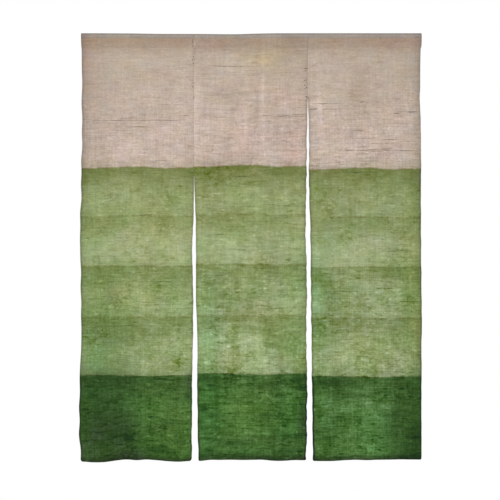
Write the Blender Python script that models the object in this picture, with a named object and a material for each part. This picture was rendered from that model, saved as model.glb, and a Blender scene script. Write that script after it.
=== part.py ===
"""Three-panel noren, a short split doorway curtain with a pocket for its rod.

X runs along the rod to the viewer's right, Y to the back and Z up, in metres. The origin is
on the pocket's top fold, midway along it. Each panel is one cloth: it comes up from its
bottom hem, passes over the rod to the back and is sewn to itself under the rod. The panels
lie side by side, joined edge to edge down to the slits.
"""
import math

import bmesh
import bpy
import numpy as np

MM = 0.001

# Sizes of the whole curtain
WIDTH = 0.880
DROP = 1.100
PANELS = ("panel_left", "panel_middle", "panel_right")
PANEL_WIDTH = WIDTH / len(PANELS)

# The cloth and what is folded and sewn in it
CLOTH = 0.0012
ROD_ROOM = 0.014
POCKET = 0.036
POCKET_LIP = 0.003
SEAM_END = 0.169
SIDE_HEM = 0.006
BOTTOM_HEM = 0.011
HEM_EXTRA = 0.0008
HEM_STEP = 0.0012

# Steps of the surface across a panel, down it and round the rod
COLUMNS = 11
ROWS = 29
ARC_STEPS = 10
SHARP_ANGLE = math.radians(50)

# How far each panel's edges wander to the right of their straight lines, in mm
EDGES = (
    # depth m, left panel: left, right, middle panel: left, right, right panel: left, right
    (0.000, 2.5, -1.4, -0.9, -1.6, -1.1, -2.1),
    (0.033, 2.5, -1.4, -0.9, -1.6, -1.1, -2.0),
    (0.040, 3.2, -1.4, -0.9, -1.6, -1.1, -4.0),
    (0.120, 4.0, -1.4, -0.9, -1.6, -1.1, -5.0),
    (0.169, 4.5, -1.4, -0.9, -1.6, -1.1, -6.2),
    (0.250, 3.8, -1.3, -0.8, -3.0, 1.7, -3.4),
    (0.380, 2.9, -1.0, -0.3, -4.8, 1.7, -3.0),
    (0.450, 0.3, -1.6, 2.6, -6.3, 3.4, -3.1),
    (0.550, 0.0, -5.3, 4.4, -5.9, 6.0, -2.3),
    (0.620, 1.5, -4.1, 4.1, -4.0, 6.0, -1.9),
    (0.720, 2.8, -2.6, 5.4, -3.9, 7.5, -0.4),
    (0.800, 3.2, -4.0, 8.3, -5.2, 8.3, -1.2),
    (0.900, -1.1, -5.4, 7.6, -2.8, 9.4, -1.0),
    (1.000, -1.6, -6.2, 8.4, -3.5, 10.5, -1.0),
    (1.100, 1.2, -6.6, 10.9, -5.5, 11.6, -1.0),
)

# How far the bottom hem hangs below the straight drop, in mm, across each panel
HEM_DROP = (
    # share of the panel's width, left panel, middle panel, right panel
    (0.0, 1.9, 0.6, 0.1),
    (0.1, 3.6, -2.3, 0.3),
    (0.2, 3.5, -1.4, 0.7),
    (0.3, 0.6, -1.5, -0.3),
    (0.4, -1.8, -1.5, -1.3),
    (0.5, -0.8, -2.5, -0.8),
    (0.6, -3.5, -3.0, -2.6),
    (0.7, -1.4, 0.1, -3.3),
    (0.8, 2.0, 1.0, -2.9),
    (0.9, 4.1, -0.5, -1.9),
    (1.0, 2.3, -1.0, -1.7),
)
HEM_DROP_FROM = 0.82

# How far the top fold sags below its ends, in mm, along the rod
TOP_SAG = (
    # place along X m, sag
    (-0.440, 0.0),
    (-0.300, 0.6),
    (-0.240, 1.6),
    (-0.130, 1.9),
    (-0.040, 2.5),
    (0.020, 0.8),
    (0.080, 0.0),
    (0.440, 0.0),
)

# Soft vertical folds: a ridge where forward is above zero, a trough where it is below
FOLDS = {
    # across mm from the panel's middle, half width mm, forward mm, begins m, lean mm per m
    "panel_left": (
        (-128, 46, 9.0, 0.34, -12),
        (-40, 40, -7.0, 0.06, 14),
        (48, 32, 6.5, 0.08, -10),
        (122, 40, -8.5, 0.38, 6),
    ),
    "panel_middle": (
        (-128, 36, 7.5, 0.20, 8),
        (-58, 42, -6.5, 0.10, -16),
        (24, 32, 7.0, 0.05, 6),
        (92, 44, -9.0, 0.30, 18),
        (142, 26, 6.0, 0.52, 0),
    ),
    "panel_right": (
        (-130, 36, 8.0, 0.18, 10),
        (-44, 46, -7.5, 0.25, -8),
        (40, 34, 6.5, 0.12, 12),
        (122, 42, -8.0, 0.38, -6),
    ),
}
FOLD_GROWTH = 0.46

# Small ripples that the side hems draw into the edges, out of step from panel to panel
RIPPLE = 0.0016
RIPPLE_PERIOD = 0.140
RIPPLE_REACH = 0.030
RIPPLE_TURN = 2.1

# How far from a sewn seam the folds are held flat, and where below the slit they are free
SEAM_REACH = 0.050
SEAM_RELEASE = 0.430

# Radius of each panel's left and right bottom corners, and the rows that draw them
CORNERS = {
    "panel_left": (0.0075, 0.0075),
    "panel_middle": (0.0040, 0.0045),
    "panel_right": (0.0045, 0.0040),
}
CORNER_ROWS = (0.85, 0.45, 0.15, 0.0)

# Linear colour of the middle of each dyed panel
COLOURS = {
    "panel_left": (0.30, 0.30, 0.16),
    "panel_middle": (0.29, 0.30, 0.15),
    "panel_right": (0.28, 0.29, 0.15),
}
ROUGHNESS = 0.92


def clear_scene():
    """Take out whatever the open file holds."""
    for thing in list(bpy.data.objects):
        bpy.data.objects.remove(thing, do_unlink=True)


def smooth_step(start, end, value):
    """Give 0 before start, 1 after end, and an S-shaped rise between them."""
    share = np.clip((value - start) / (end - start), 0.0, 1.0)
    return share * share * (3.0 - 2.0 * share)


def curve_through(table, column, at):
    """Read a table's column along its first one, on a cubic curve through its rows."""
    rows = np.array(table, dtype=float)
    knots = rows[:, 0]
    values = rows[:, column]
    slopes = np.zeros(len(knots))
    slopes[1:-1] = (values[2:] - values[:-2]) / (knots[2:] - knots[:-2])
    cell = np.clip(np.searchsorted(knots, at, side="right") - 1, 0, len(knots) - 2)
    span = knots[cell + 1] - knots[cell]
    share = np.clip((at - knots[cell]) / span, 0.0, 1.0)
    rise = share * share * (3.0 - 2.0 * share)
    leave = share * (1.0 - share) ** 2 * span * slopes[cell]
    arrive = share * share * (share - 1.0) * span * slopes[cell + 1]
    return values[cell] * (1.0 - rise) + values[cell + 1] * rise + leave + arrive


def panel_edges(number, depth):
    """Give the X of a panel's left and right edges at each depth below the top fold."""
    left_line = -WIDTH / 2 + number * PANEL_WIDTH
    left = left_line + MM * curve_through(EDGES, 1 + 2 * number, depth)
    right = left_line + PANEL_WIDTH + MM * curve_through(EDGES, 2 + 2 * number, depth)
    left_radius, right_radius = CORNERS[PANELS[number]]
    return left + corner_inset(left_radius, depth), right - corner_inset(right_radius, depth)


def corner_inset(radius, depth):
    """Give how far a rounded bottom corner of this radius draws the edge in."""
    below = np.clip(depth - (DROP - radius), 0.0, radius)
    return radius - np.sqrt(radius * radius - below * below)


def cloth_back(number, share, depth):
    """Give the Y of the middle of the cloth: its folds, side ripples and held seams."""
    name = PANELS[number]
    across = (share - 0.5) * PANEL_WIDTH
    forward = np.zeros(np.broadcast(share, depth).shape)
    for place, half_width, height, begins, lean in FOLDS[name]:
        middle = MM * (place + lean * depth)
        shape = np.exp(-(((across - middle) / (MM * half_width)) ** 2))
        forward += MM * height * shape * smooth_step(begins, begins + FOLD_GROWTH, depth)
    for side, edge in ((-1.0, -PANEL_WIDTH / 2), (1.0, PANEL_WIDTH / 2)):
        wave = np.sin(2.0 * math.pi * depth / RIPPLE_PERIOD + side + RIPPLE_TURN * number)
        reach = np.exp(-(((across - edge) / RIPPLE_REACH) ** 2))
        forward += RIPPLE * wave * reach * smooth_step(POCKET, SEAM_END, depth)
        sewn = 0 <= number + side < len(PANELS)
        if sewn:
            near = np.exp(-(((across - edge) / SEAM_REACH) ** 2))
            forward *= 1.0 - near * (1.0 - smooth_step(SEAM_END, SEAM_RELEASE, depth))
    return -forward


def hem_behind(share, depth):
    """Give what the folded hems and the pocket's lip add behind the cloth."""
    inward = np.minimum(share, 1.0 - share) * PANEL_WIDTH
    side = (SIDE_HEM + HEM_STEP - inward) / HEM_STEP
    bottom = (depth - (DROP - BOTTOM_HEM - HEM_STEP)) / HEM_STEP
    lip = (POCKET + POCKET_LIP + HEM_STEP - depth) / HEM_STEP
    folded = np.maximum(np.maximum(side, bottom), lip)
    return HEM_EXTRA * np.clip(folded, 0.0, 1.0)


def place(number, share, back, depth):
    """Turn shares across a panel, distances back and depths into points in space."""
    left, right = panel_edges(number, depth)
    x = left + share * (right - left)
    sag = MM * curve_through(TOP_SAG, 1, x) * np.clip(1.0 - depth / POCKET, 0.0, 1.0)
    hang = MM * curve_through(HEM_DROP, 1 + number, share)
    z = -depth - sag - hang * smooth_step(HEM_DROP_FROM, DROP, depth)
    return np.stack(np.broadcast_arrays(x, back, z), axis=-1)


def sheet_depths():
    """List the depths of the rows of the single sheet, from the stitch line to the hem."""
    lip_end = POCKET + POCKET_LIP
    hem_top = DROP - BOTTOM_HEM
    radius = max(max(pair) for pair in CORNERS.values())
    body = np.linspace(lip_end + HEM_STEP, hem_top - HEM_STEP, ROWS)
    corner = DROP - radius * np.array(CORNER_ROWS)
    return np.concatenate([[POCKET, lip_end], body, [hem_top], corner])


def column_shares():
    """List the places of the columns across a panel, closest together at the side hems."""
    hem = np.array([0.0, SIDE_HEM, SIDE_HEM + HEM_STEP]) / PANEL_WIDTH
    middle = np.linspace(hem[-1], 1.0 - hem[-1], COLUMNS + 2)[1:-1]
    return np.concatenate([hem, middle, 1.0 - hem[::-1]])


def pocket_section():
    """Give the pocket's outer and inner points, as back and depth, from front to back.

    The cloth's middle runs straight up from the stitch line, round a circle that clears the
    rod, and straight down again. Outer and inner points lie half the cloth from it.
    """
    radius = (ROD_ROOM + CLOTH) / 2
    centre = radius + CLOTH / 2
    slant = math.asin(radius / (POCKET - centre))
    turn = np.linspace(slant, -math.pi - slant, ARC_STEPS + 1)
    section = {}
    for side, offset in (("outer", CLOTH / 2), ("inner", -CLOTH / 2)):
        back = -(radius + offset) * np.cos(turn)
        depth = centre + (radius + offset) * np.sin(turn)
        section[side] = np.stack([back, depth], axis=-1)
    front_foot = np.array([-CLOTH / 2, POCKET])
    back_foot = np.array([CLOTH / 2, POCKET])
    inner_foot = np.array([0.0, POCKET - CLOTH / 2 / math.sin(slant)])
    outer = section["outer"]
    inner = section["inner"]
    outer = np.vstack([(front_foot + outer[0]) / 2, outer, (back_foot + outer[-1]) / 2])
    halfway = (inner_foot + inner[0]) / 2, (inner_foot + inner[-1]) / 2
    inner = np.vstack([inner_foot, halfway[0], inner, halfway[1]])
    return outer, inner


def panel_points(number):
    """Give a panel's outer skin and the inside of its pocket, one row of points a column.

    The outer skin runs up the front, over the rod and down the back.
    """
    share = column_shares()[:, None]
    depths = sheet_depths()[None, :]
    middle = cloth_back(number, share, depths)
    front = place(number, share, middle - CLOTH / 2, depths)
    behind = middle + CLOTH / 2 + hem_behind(share, depths)
    back = place(number, share, behind, depths)
    outer, inner = pocket_section()
    over = place(number, share, outer[None, :, 0], outer[None, :, 1])
    inside = place(number, share, inner[None, :, 0], inner[None, :, 1])
    return np.concatenate([front[:, ::-1], over, back], axis=1), inside


def end_faces(skin, inside, rows):
    """Close one side edge: the strip between front and back, and the pocket's ring."""
    count = len(skin)
    faces = []
    for row in range(rows - 1):
        faces.append((skin[row], skin[row + 1], skin[count - 2 - row], skin[count - 1 - row]))
    ring = skin[rows - 1:count - rows + 1]
    lining = inside + inside[:1]
    for step in range(len(ring) - 1):
        faces.append((ring[step], ring[step + 1], lining[step + 1], lining[step]))
    faces.append((ring[0], lining[0], ring[-1]))
    return faces


def tube_faces(columns):
    """Join closed rows of vertices, column to column."""
    faces = []
    for one, other in zip(columns[:-1], columns[1:]):
        for step in range(len(one)):
            after = (step + 1) % len(one)
            faces.append((one[step], one[after], other[after], other[step]))
    return faces


def panel_mesh(number):
    """Build one panel as a closed body with a way through its pocket."""
    skin_points, inside_points = panel_points(number)
    mesh = bmesh.new()
    skin = [[mesh.verts.new(point) for point in column] for column in skin_points]
    inside = [[mesh.verts.new(point) for point in column] for column in inside_points]
    rows = len(sheet_depths())
    faces = tube_faces(skin) + tube_faces(inside)
    faces += end_faces(skin[0], inside[0], rows) + end_faces(skin[-1], inside[-1], rows)
    for corners in faces:
        mesh.faces.new(corners)
    bmesh.ops.recalc_face_normals(mesh, faces=mesh.faces)
    bmesh.ops.triangulate(mesh, faces=mesh.faces)
    data = bpy.data.meshes.new(PANELS[number])
    mesh.to_mesh(data)
    mesh.free()
    data.shade_smooth()
    data.set_sharp_from_angle(angle=SHARP_ANGLE)
    return data


def cloth_material(name):
    """Make a panel's plain cloth finish."""
    material = bpy.data.materials.new(name + "_cloth")
    material.use_nodes = True
    shader = material.node_tree.nodes["Principled BSDF"]
    shader.inputs["Base Color"].default_value = (*COLOURS[name], 1.0)
    shader.inputs["Roughness"].default_value = ROUGHNESS
    shader.inputs["Metallic"].default_value = 0.0
    return material


def build_panel(number):
    """Put one panel in the scene."""
    name = PANELS[number]
    panel = bpy.data.objects.new(name, panel_mesh(number))
    panel.data.materials.append(cloth_material(name))
    bpy.context.scene.collection.objects.link(panel)


def main():
    clear_scene()
    for number in range(len(PANELS)):
        build_panel(number)


main()
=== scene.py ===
"""The looks of a three-panel noren: dip-dyed hemp cloth, its sewing thread and the studio.

X runs along the rod to the viewer's right, Y to the back and Z up, in metres, with the origin
on the pocket's top fold. Depth is the distance below that fold.
"""
import math

import bpy
import numpy as np
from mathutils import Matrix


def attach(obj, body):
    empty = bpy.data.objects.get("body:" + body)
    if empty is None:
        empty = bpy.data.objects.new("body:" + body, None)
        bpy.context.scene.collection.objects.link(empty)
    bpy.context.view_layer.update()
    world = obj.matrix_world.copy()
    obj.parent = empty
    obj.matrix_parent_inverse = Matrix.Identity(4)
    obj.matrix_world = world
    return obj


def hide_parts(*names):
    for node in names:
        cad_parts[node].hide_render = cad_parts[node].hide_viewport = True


bl_info = {
    "name": "Noren Curtain",
    "version": (1, 0, 0),
    "blender": (4, 5, 0),
    "location": "View3D > Sidebar > Noren",
    "description": "Hangs a dip-dyed hemp noren with hems, seams and thread",
    "category": "Object",
}

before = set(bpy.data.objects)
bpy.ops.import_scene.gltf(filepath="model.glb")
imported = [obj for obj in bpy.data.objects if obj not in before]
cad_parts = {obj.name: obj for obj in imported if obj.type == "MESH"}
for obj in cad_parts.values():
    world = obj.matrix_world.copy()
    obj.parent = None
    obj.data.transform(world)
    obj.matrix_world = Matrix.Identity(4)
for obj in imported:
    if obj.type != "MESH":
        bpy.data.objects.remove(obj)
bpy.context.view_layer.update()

MM = 0.001
PANELS = ("left", "middle", "right")
NODES = ("panel_left", "panel_middle", "panel_right")
FLAT_MAP = "cloth_flat"
TWIST_MAP = "thread_twist"

# How far each panel's edges wander to the right of their straight lines, in mm
EDGES = (
    # depth m, left panel: left, right, middle panel: left, right, right panel: left, right
    (0.000, 2.5, -1.4, -0.9, -1.6, -1.1, -2.1),
    (0.033, 2.5, -1.4, -0.9, -1.6, -1.1, -2.0),
    (0.040, 3.2, -1.4, -0.9, -1.6, -1.1, -4.0),
    (0.120, 4.0, -1.4, -0.9, -1.6, -1.1, -5.0),
    (0.169, 4.5, -1.4, -0.9, -1.6, -1.1, -6.2),
    (0.250, 3.8, -1.3, -0.8, -3.0, 1.7, -3.4),
    (0.380, 2.9, -1.0, -0.3, -4.8, 1.7, -3.0),
    (0.450, 0.3, -1.6, 2.6, -6.3, 3.4, -3.1),
    (0.550, 0.0, -5.3, 4.4, -5.9, 6.0, -2.3),
    (0.620, 1.5, -4.1, 4.1, -4.0, 6.0, -1.9),
    (0.720, 2.8, -2.6, 5.4, -3.9, 7.5, -0.4),
    (0.800, 3.2, -4.0, 8.3, -5.2, 8.3, -1.2),
    (0.900, -1.1, -5.4, 7.6, -2.8, 9.4, -1.0),
    (1.000, -1.6, -6.2, 8.4, -3.5, 10.5, -1.0),
    (1.100, 1.2, -6.6, 10.9, -5.5, 11.6, -1.0),
)

# How far the bottom hem hangs below the straight drop, in mm, across each panel
HEM_DROP = (
    # share of the panel's width, left panel, middle panel, right panel
    (0.0, 1.9, 0.6, 0.1),
    (0.1, 3.6, -2.3, 0.3),
    (0.2, 3.5, -1.4, 0.7),
    (0.3, 0.6, -1.5, -0.3),
    (0.4, -1.8, -1.5, -1.3),
    (0.5, -0.8, -2.5, -0.8),
    (0.6, -3.5, -3.0, -2.6),
    (0.7, -1.4, 0.1, -3.3),
    (0.8, 2.0, 1.0, -2.9),
    (0.9, 4.1, -0.5, -1.9),
    (1.0, 2.3, -1.0, -1.7),
)
HEM_DROP_FROM = 0.82

# How far the top fold sags below its ends, in mm, along the rod
TOP_SAG = (
    # place along X m, sag
    (-0.440, 0.0),
    (-0.300, 0.6),
    (-0.240, 1.6),
    (-0.130, 1.9),
    (-0.040, 2.5),
    (0.020, 0.8),
    (0.080, 0.0),
    (0.440, 0.0),
)

# Soft vertical folds: a ridge where forward is above zero, a trough where it is below
FOLDS = (
    # across mm from the panel's middle, half width mm, forward mm, begins m, lean mm per m
    (
        (-128, 46, 9.0, 0.34, -12),
        (-40, 40, -7.0, 0.06, 14),
        (48, 32, 6.5, 0.08, -10),
        (122, 40, -8.5, 0.38, 6),
    ),
    (
        (-128, 36, 7.5, 0.20, 8),
        (-58, 42, -6.5, 0.10, -16),
        (24, 32, 7.0, 0.05, 6),
        (92, 44, -9.0, 0.30, 18),
        (142, 26, 6.0, 0.52, 0),
    ),
    (
        (-130, 36, 8.0, 0.18, 10),
        (-44, 46, -7.5, 0.25, -8),
        (40, 34, 6.5, 0.12, 12),
        (122, 42, -8.0, 0.38, -6),
    ),
)
FOLD_GROWTH = 0.46
RIPPLE = 0.0016
RIPPLE_PERIOD = 0.140
RIPPLE_REACH = 0.030
RIPPLE_TURN = 2.1
SEAM_REACH = 0.050
SEAM_RELEASE = 0.430

# Small unevenness of each panel's left and right edges, in mm
WANDER = ((0.65, 0.45), (0.32, 0.65), (0.38, 0.28))

# Where the two slits begin to gape; above that their edges touch
SLIT_OPENS = (0.372, 0.169)

# Radius of each panel's left and right bottom corners
CORNERS = ((0.0075, 0.0075), (0.0040, 0.0045), (0.0045, 0.0040))

# Seeds of all that is drawn at random
EDGE_SEED, COCKLE_SEED, CRUMPLE_SEED, GATHER_SEED = 5, 100, 200, 7
HEM_SEED, SEAM_SEED, DRIFT_SEED, SWELL_SEED = 400, 77, 500, 600

# Longest wave, shortest wave in m and number of waves: free edges, cockles, crumples
EDGE_WAVES = (0.075, 0.016, 7)
COCKLE_WAVES = (0.150, 0.060, 14)
CRUMPLE_WAVES = (0.042, 0.016, 24)
COCKLE_STRETCH = 0.6

# How far down it takes a free edge, the hanging sheet and the end of a seam to change, in m
EDGE_REACH = 0.150
HANG_REACH = 0.060
SEAM_END_REACH = 0.006

# Gathers along the pocket's stitches: height, reach down, waves; and the dip of the stitched line
GATHER = 0.00022
GATHER_REACH = 0.009
GATHER_WAVES = (0.016, 0.0075, 5)
STITCH_DIP = 0.00035
STITCH_DIP_REACH = 0.0014

# How far a folded hem pushes the cloth forward, over what reach, and how far its corners thicken
HEM_HEIGHT = 0.00022
HEM_INSIDE = 0.0008
HEM_OUTSIDE = 0.0010
CORNER_REACH = 0.010

# Where the grid's points lie, in m. Across: about the side hem's line, in from the edge, and where
# the even columns start. Down: the turned-in end, over and under the stitches, about the bottom
# hem's line, and where the even rows of the sheet end and how many they are
HEM_COLUMNS = (-0.0008, 0.0, 0.0008, 0.0024, 0.0055)
EDGE_COLUMNS = (0.0014, 0.0027, 0.0040)
SHEET_FROM = 0.0145
TURNED_IN = 0.009
ABOVE_STITCHES = (0.0050, 0.0030, 0.0015, 0.0)
BELOW_STITCHES = (0.0015, 0.0030, 0.0050, 0.0075)
HEM_ROWS = (-0.0010, 0.0, 0.0010)
SHEET_ENDS = 0.0030
SHEET_ROWS = 262

# The points of a stitch, a seam's stitch and a knot: share of its length, and height or thickness
STITCH_STEPS = np.array([-0.5, -0.36, 0.0, 0.36, 0.5])
STITCH_RISE = np.array([-0.9, 0.45, 0.8, 0.45, -0.9])
SEAM_STEPS = np.array([-0.5, -0.34, 0.0, 0.34, 0.5])
SEAM_RISE = np.array([-1.2, 0.6, 0.9, 0.6, -1.2])
KNOT_STEPS = np.array([-0.5, -0.3, 0.0, 0.3, 0.5])
KNOT_SWELL = np.array([0.45, 0.9, 1.0, 0.9, 0.45])

# How far from its ends a row of stitches starts and stops, in m
POCKET_ROW = (0.004, 0.003)
SIDE_ROW = (0.008, 0.006)
BOTTOM_ROW = (0.010, 0.009)
SIDE_ROW_BEHIND = (0.010, 0.016)
BOTTOM_ROW_BEHIND = (0.012, 0.010)
SEAM_ROW = (0.004, 0.006)

# How far a row of stitches lies from the hem's edge, in m
SIDE_LINE = 0.0013
BOTTOM_LINE = 0.0016
LINE_BEHIND = 0.0002

# How uneven the hand's stitches are: share of the pitch, and m off the pocket's, side's, bottom's line
UNEVEN_PITCH = 0.05
UNEVEN_LINES = (0.00012, 0.00015, 0.0002)

# How far a hem's stitch slants, how long and wide it is behind, how much higher it stands there,
# and how far back it lies there, as a share of the layers' spacing
SLANT = 0.0003
SLANT_BEHIND = (0.0022, 0.0012)
LIFT_BEHIND = 1.4
PLACE_BEHIND = 0.6

# The stitches between two panels: their width, the width of the tack's at the seam's end, in m, and
# how far above that end each of the tack's lies, in mm; their slant, depth and unevenness, in m
SEAM_WIDE = 0.0024
TACK_WIDE = 0.0046
TACK = (5.4, 4.5, 3.7, 2.8, 2.0, 1.2)
SEAM_SLANT = 0.0005
SEAM_SUNK = 0.00022
SEAM_UNEVEN = 0.0003

# How far right of its table's place a knot lies, in mm, and how far it stands out, in m
KNOT_SHIFT = 0.25
KNOT_HEIGHT = 0.0003

# Thick weft yarns: gap to the edge, drift off their line, and how their thickness swells, as shares
SLUB_MARGIN = 0.0008
SLUB_DRIFT = 0.0006
SLUB_DRIFT_WAVES = (0.120, 0.030, 4)
SLUB_SWELL_WAVES = (0.050, 0.012, 5)
SLUB_SWELL = (0.55, 0.45)
SLUB_RANGE = (0.38, 1.2)
SLUB_TAPER = 1.6
SLUB_LEAST = 0.10
SLUB_SUNK = 0.0001

# How deep a crease is at its ends, how much more in its middle, and for each metre it stands back how
# much painted shade darkens it, painted light where it stands forward
CREASE_SWELL = (0.45, 0.55)
CREASE_SHADE = 150.0

# Creases left in the cloth, each a short straight trough or ridge with soft ends
CREASES = (
    # panel, from across mm, depth m, to across mm, depth m, half width mm, forward mm
    (0, -84, 0.664, -52, 0.716, 5.0, -1.3),
    (0, -92, 0.655, -62, 0.700, 6.0, 0.9),
    (0, -40, 0.782, -16, 0.806, 4.0, -0.9),
    (0, -16, 0.778, 8, 0.802, 4.0, -0.9),
    (0, -104, 0.568, -93, 0.592, 4.0, -0.8),
    (0, 20, 0.340, 62, 0.372, 7.0, 0.8),
    (1, -38, 0.535, -10, 0.556, 5.0, -0.9),
    (1, 62, 0.600, 118, 0.640, 8.0, 0.9),
    (1, -118, 0.870, -70, 0.905, 6.0, 0.8),
    (1, -90, 0.150, -40, 0.176, 8.0, -0.7),
    (2, -70, 0.788, -48, 0.822, 4.0, -1.0),
    (2, 74, 0.798, 96, 0.828, 4.0, -1.0),
    (2, -112, 0.420, -60, 0.470, 7.0, 0.8),
    (2, 20, 0.930, 80, 0.962, 7.0, 0.9),
)

# Thick places in the weft yarn that stand out from a step away
SLUBS = (
    # panel, from across mm, to across mm, depth m, thickness mm
    (0, -134, 128, 0.2240, 1.61),
    (0, -46, 18, 0.3552, 1.80),
    (0, -128, -76, 0.3420, 1.52),
    (0, -20, 66, 0.4680, 1.33),
    (0, -110, -40, 0.5740, 1.52),
    (0, 30, 96, 0.6390, 1.42),
    (0, -90, 12, 0.7540, 1.33),
    (1, -106, 20, 0.0850, 1.33),
    (1, 14, 112, 0.2120, 1.52),
    (1, -50, 34, 0.3680, 1.90),
    (1, 60, 128, 0.4430, 1.42),
    (1, -120, -60, 0.5180, 1.42),
    (1, 10, 88, 0.7090, 1.52),
    (2, 79, 146, 0.2025, 2.40),
    (2, 74, 93, 0.2052, 3.00),
    (2, -148, -122, 0.1950, 3.00),
    (2, -12, 9, 0.1765, 2.00),
    (2, -38, 4, 0.2516, 1.90),
    (2, -54, -32, 0.3005, 3.00),
    (2, -136, -60, 0.1805, 1.80),
    (2, -112, -64, 0.1950, 1.71),
    (2, -75, 146, 0.3012, 2.20),
    (2, -20, 44, 0.2700, 1.52),
    (2, -60, 30, 0.3580, 1.61),
    (2, 40, 126, 0.5610, 1.42),
    (2, -100, -20, 0.6650, 1.52),
)

# Dark stitches and knots that show in the two seams
SEAM_MARKS = (
    # seam, across mm, depth m, width mm, height mm
    (0, -3.8, 0.0176, 1.9, 2.8),
    (0, -3.7, 0.0206, 1.7, 2.8),
    (0, -3.6, 0.0240, 1.2, 2.4),
    (0, -3.4, 0.0330, 1.5, 2.6),
    (0, -1.2, 0.0605, 2.6, 1.9),
    (0, 1.9, 0.0687, 2.0, 2.5),
    (0, -3.5, 0.0690, 1.9, 2.7),
    (0, -1.2, 0.0777, 2.3, 1.9),
    (0, -3.1, 0.1275, 2.6, 1.9),
    (0, -3.0, 0.1377, 3.3, 2.5),
    (1, -4.5, 0.0909, 10.0, 1.6),
    (1, -5.6, 0.0965, 7.0, 1.3),
    (1, -8.4, 0.1215, 1.9, 2.5),
    (1, -3.8, 0.1210, 1.9, 3.0),
    (1, -3.7, 0.1272, 1.9, 2.8),
    (1, -8.3, 0.1334, 1.8, 2.5),
    (1, -3.8, 0.1390, 1.8, 3.3),
    (1, -6.6, 0.1415, 3.0, 1.8),
    (1, -3.8, 0.1634, 3.4, 2.8),
)

DYE_BANDS = (
    # name, top of the band m, colour under its dye line, colour further down
    ("Sage", 0.345, (118, 127, 73), (149, 160, 110)),
    ("Pale sage", 0.470, (138, 149, 96), (159, 171, 124)),
    ("Moss", 0.598, (129, 144, 90), (145, 161, 111)),
    ("Leaf", 0.730, (125, 142, 88), (148, 164, 114)),
    ("Deep green", 0.880, (60, 94, 37), (71, 111, 47)),
)
DYE_SHIFTS = (0.0, 0.004, -0.003)

# How light each thread is beside the cloth that it was dyed with
HEM_TONE = 0.72
SLUB_TONE = 0.46
SEAM_TONE = 0.70

# Painted shade: how much darker each panel's left and right borders are, where the cloth turns away from
# the light
BORDER_SHADES = ((0.200, 0.030), (0.010, 0.075), (0.030, 0.255))
BORDER_REACH = 0.017

# Painted shade on the rounded fold of each left and right side hem, how much darker it is, lighter where
# below zero: undyed, pale dye, deepest dye
RIMS = (
    ((0.00, 0.06, 0.44), (0.00, 0.00, 0.22)),
    ((0.00, 0.00, 0.46), (0.00, 0.00, 0.74)),
    ((0.00, 0.26, 1.25), (-0.14, 0.03, 0.26)),
)
RIM_REACH = 0.0042

# How much darker the hem of each panel's right edge is where it is sewn to the next panel
SEAM_SHADES = (0.07, 0.14, 0.0)

# How strongly the yarn's streaks and the broad clouds show on the bare cloth, from its top to its
# foot, and how much more from a step of the dye's strength, 0 to 1, on
BARE_FADE = (0.05, 0.30)
UNEVENNESS = (
    ((0.72, 1.30), ((0.0, 0.20), (0.4, 0.55), (0.8, 1.40))),
    ((0.95, 1.30), ((0.0, 0.85), (0.4, 0.65), (0.6, 0.15), (0.8, 1.55))),
)

# What the wash group puts out, and how strongly four of them lighten or darken
WASHES = ("Cloud", "Drift", "Blotch", "Smudge", "Stroke", "Mottle", "Wrinkle", "Warm", "Blush", "Patch")
WIDE_WEIGHTS = (("Cloud", 0.18), ("Blotch", 0.20), ("Smudge", -0.24), ("Mottle", 0.05))

# The two colours between which each broad tint swings
WARM_SWING = ((0.980, 0.997, 1.042, 1.0), (1.020, 1.003, 0.958, 1.0))
BLUSH_SWING = ((0.985, 1.009, 0.997, 1.0), (1.015, 0.991, 1.003, 1.0))
PATCH_SWING = ((0.92, 0.985, 0.88, 1.0), (1.08, 1.015, 1.10, 1.0))

# No shading makes a colour darker than this
DARKEST = (0.003, 0.003, 0.003)

# What the tide mark at a dye line, the painted shade of two-layer cloth, the roll and the pale hem
# multiply by
TIDE_TINT = (0.82, 0.76, 0.66)
SEWING_TINTS = {
    "doubled_shade": (0.79, 0.73, 0.69),
    "roll": (0.90, 1.03, 1.18),
    "pale": (1.26, 1.25, 1.27),
}

# Where the masks of the sewing begin and end, in m, with the pocket's painted shade fading out below its
# stitches, and how strong the painted shade of a hem's two layers is
HEM_BLUR = 0.0006
SLIT_BLUR = 0.008
DYE_BLUR = 0.020
SEAM_BLUR = 0.010
POCKET_FADE = (0.014, 0.074)
ROLL_FADE = (0.0095, 0.0135)
HEM_DOUBLED = 0.30

# Painted shade: how much darker the rounded folds of free edges and the bottom hem are; painted light:
# how much lighter joined edges are, over the groove between panels; and how far in that reaches
EDGE_SHADE, EDGE_SHADE_REACH = 0.40, 0.0020
JOIN_LIGHT, JOIN_LIGHT_REACH = -0.20, 0.0022
HEM_SHADE, HEM_SHADE_REACH = 0.62, 0.0120
SEAM_SHADE_REACH = 0.0085
BORDER_FADE = 0.7

# Painted shade along the top of the roll and along the crease where the cloth leaves the rod: depth,
# reach, how much darker
ROD_CREASE_SHADES = ((0.0, 0.0034, 0.40), (0.0120, 0.0017, 0.14))

# The paler hem on the middle panel's left: how pale, its falls inwards, where it begins and
# ends; and the pale stripe beside its pocket, downwards and inwards
PALE = 0.65
PALE_FALLS = ((0.35, 0.0050, 0.0085), (0.30, 0.0085, 0.0400))
PALE_DOWN = (0.098, 0.110, 0.300, 0.420)
STRIPE_DOWN = (0.017, 0.020, 0.034, 0.037)
STRIPE_IN = (0.0020, 0.0045)

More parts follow.
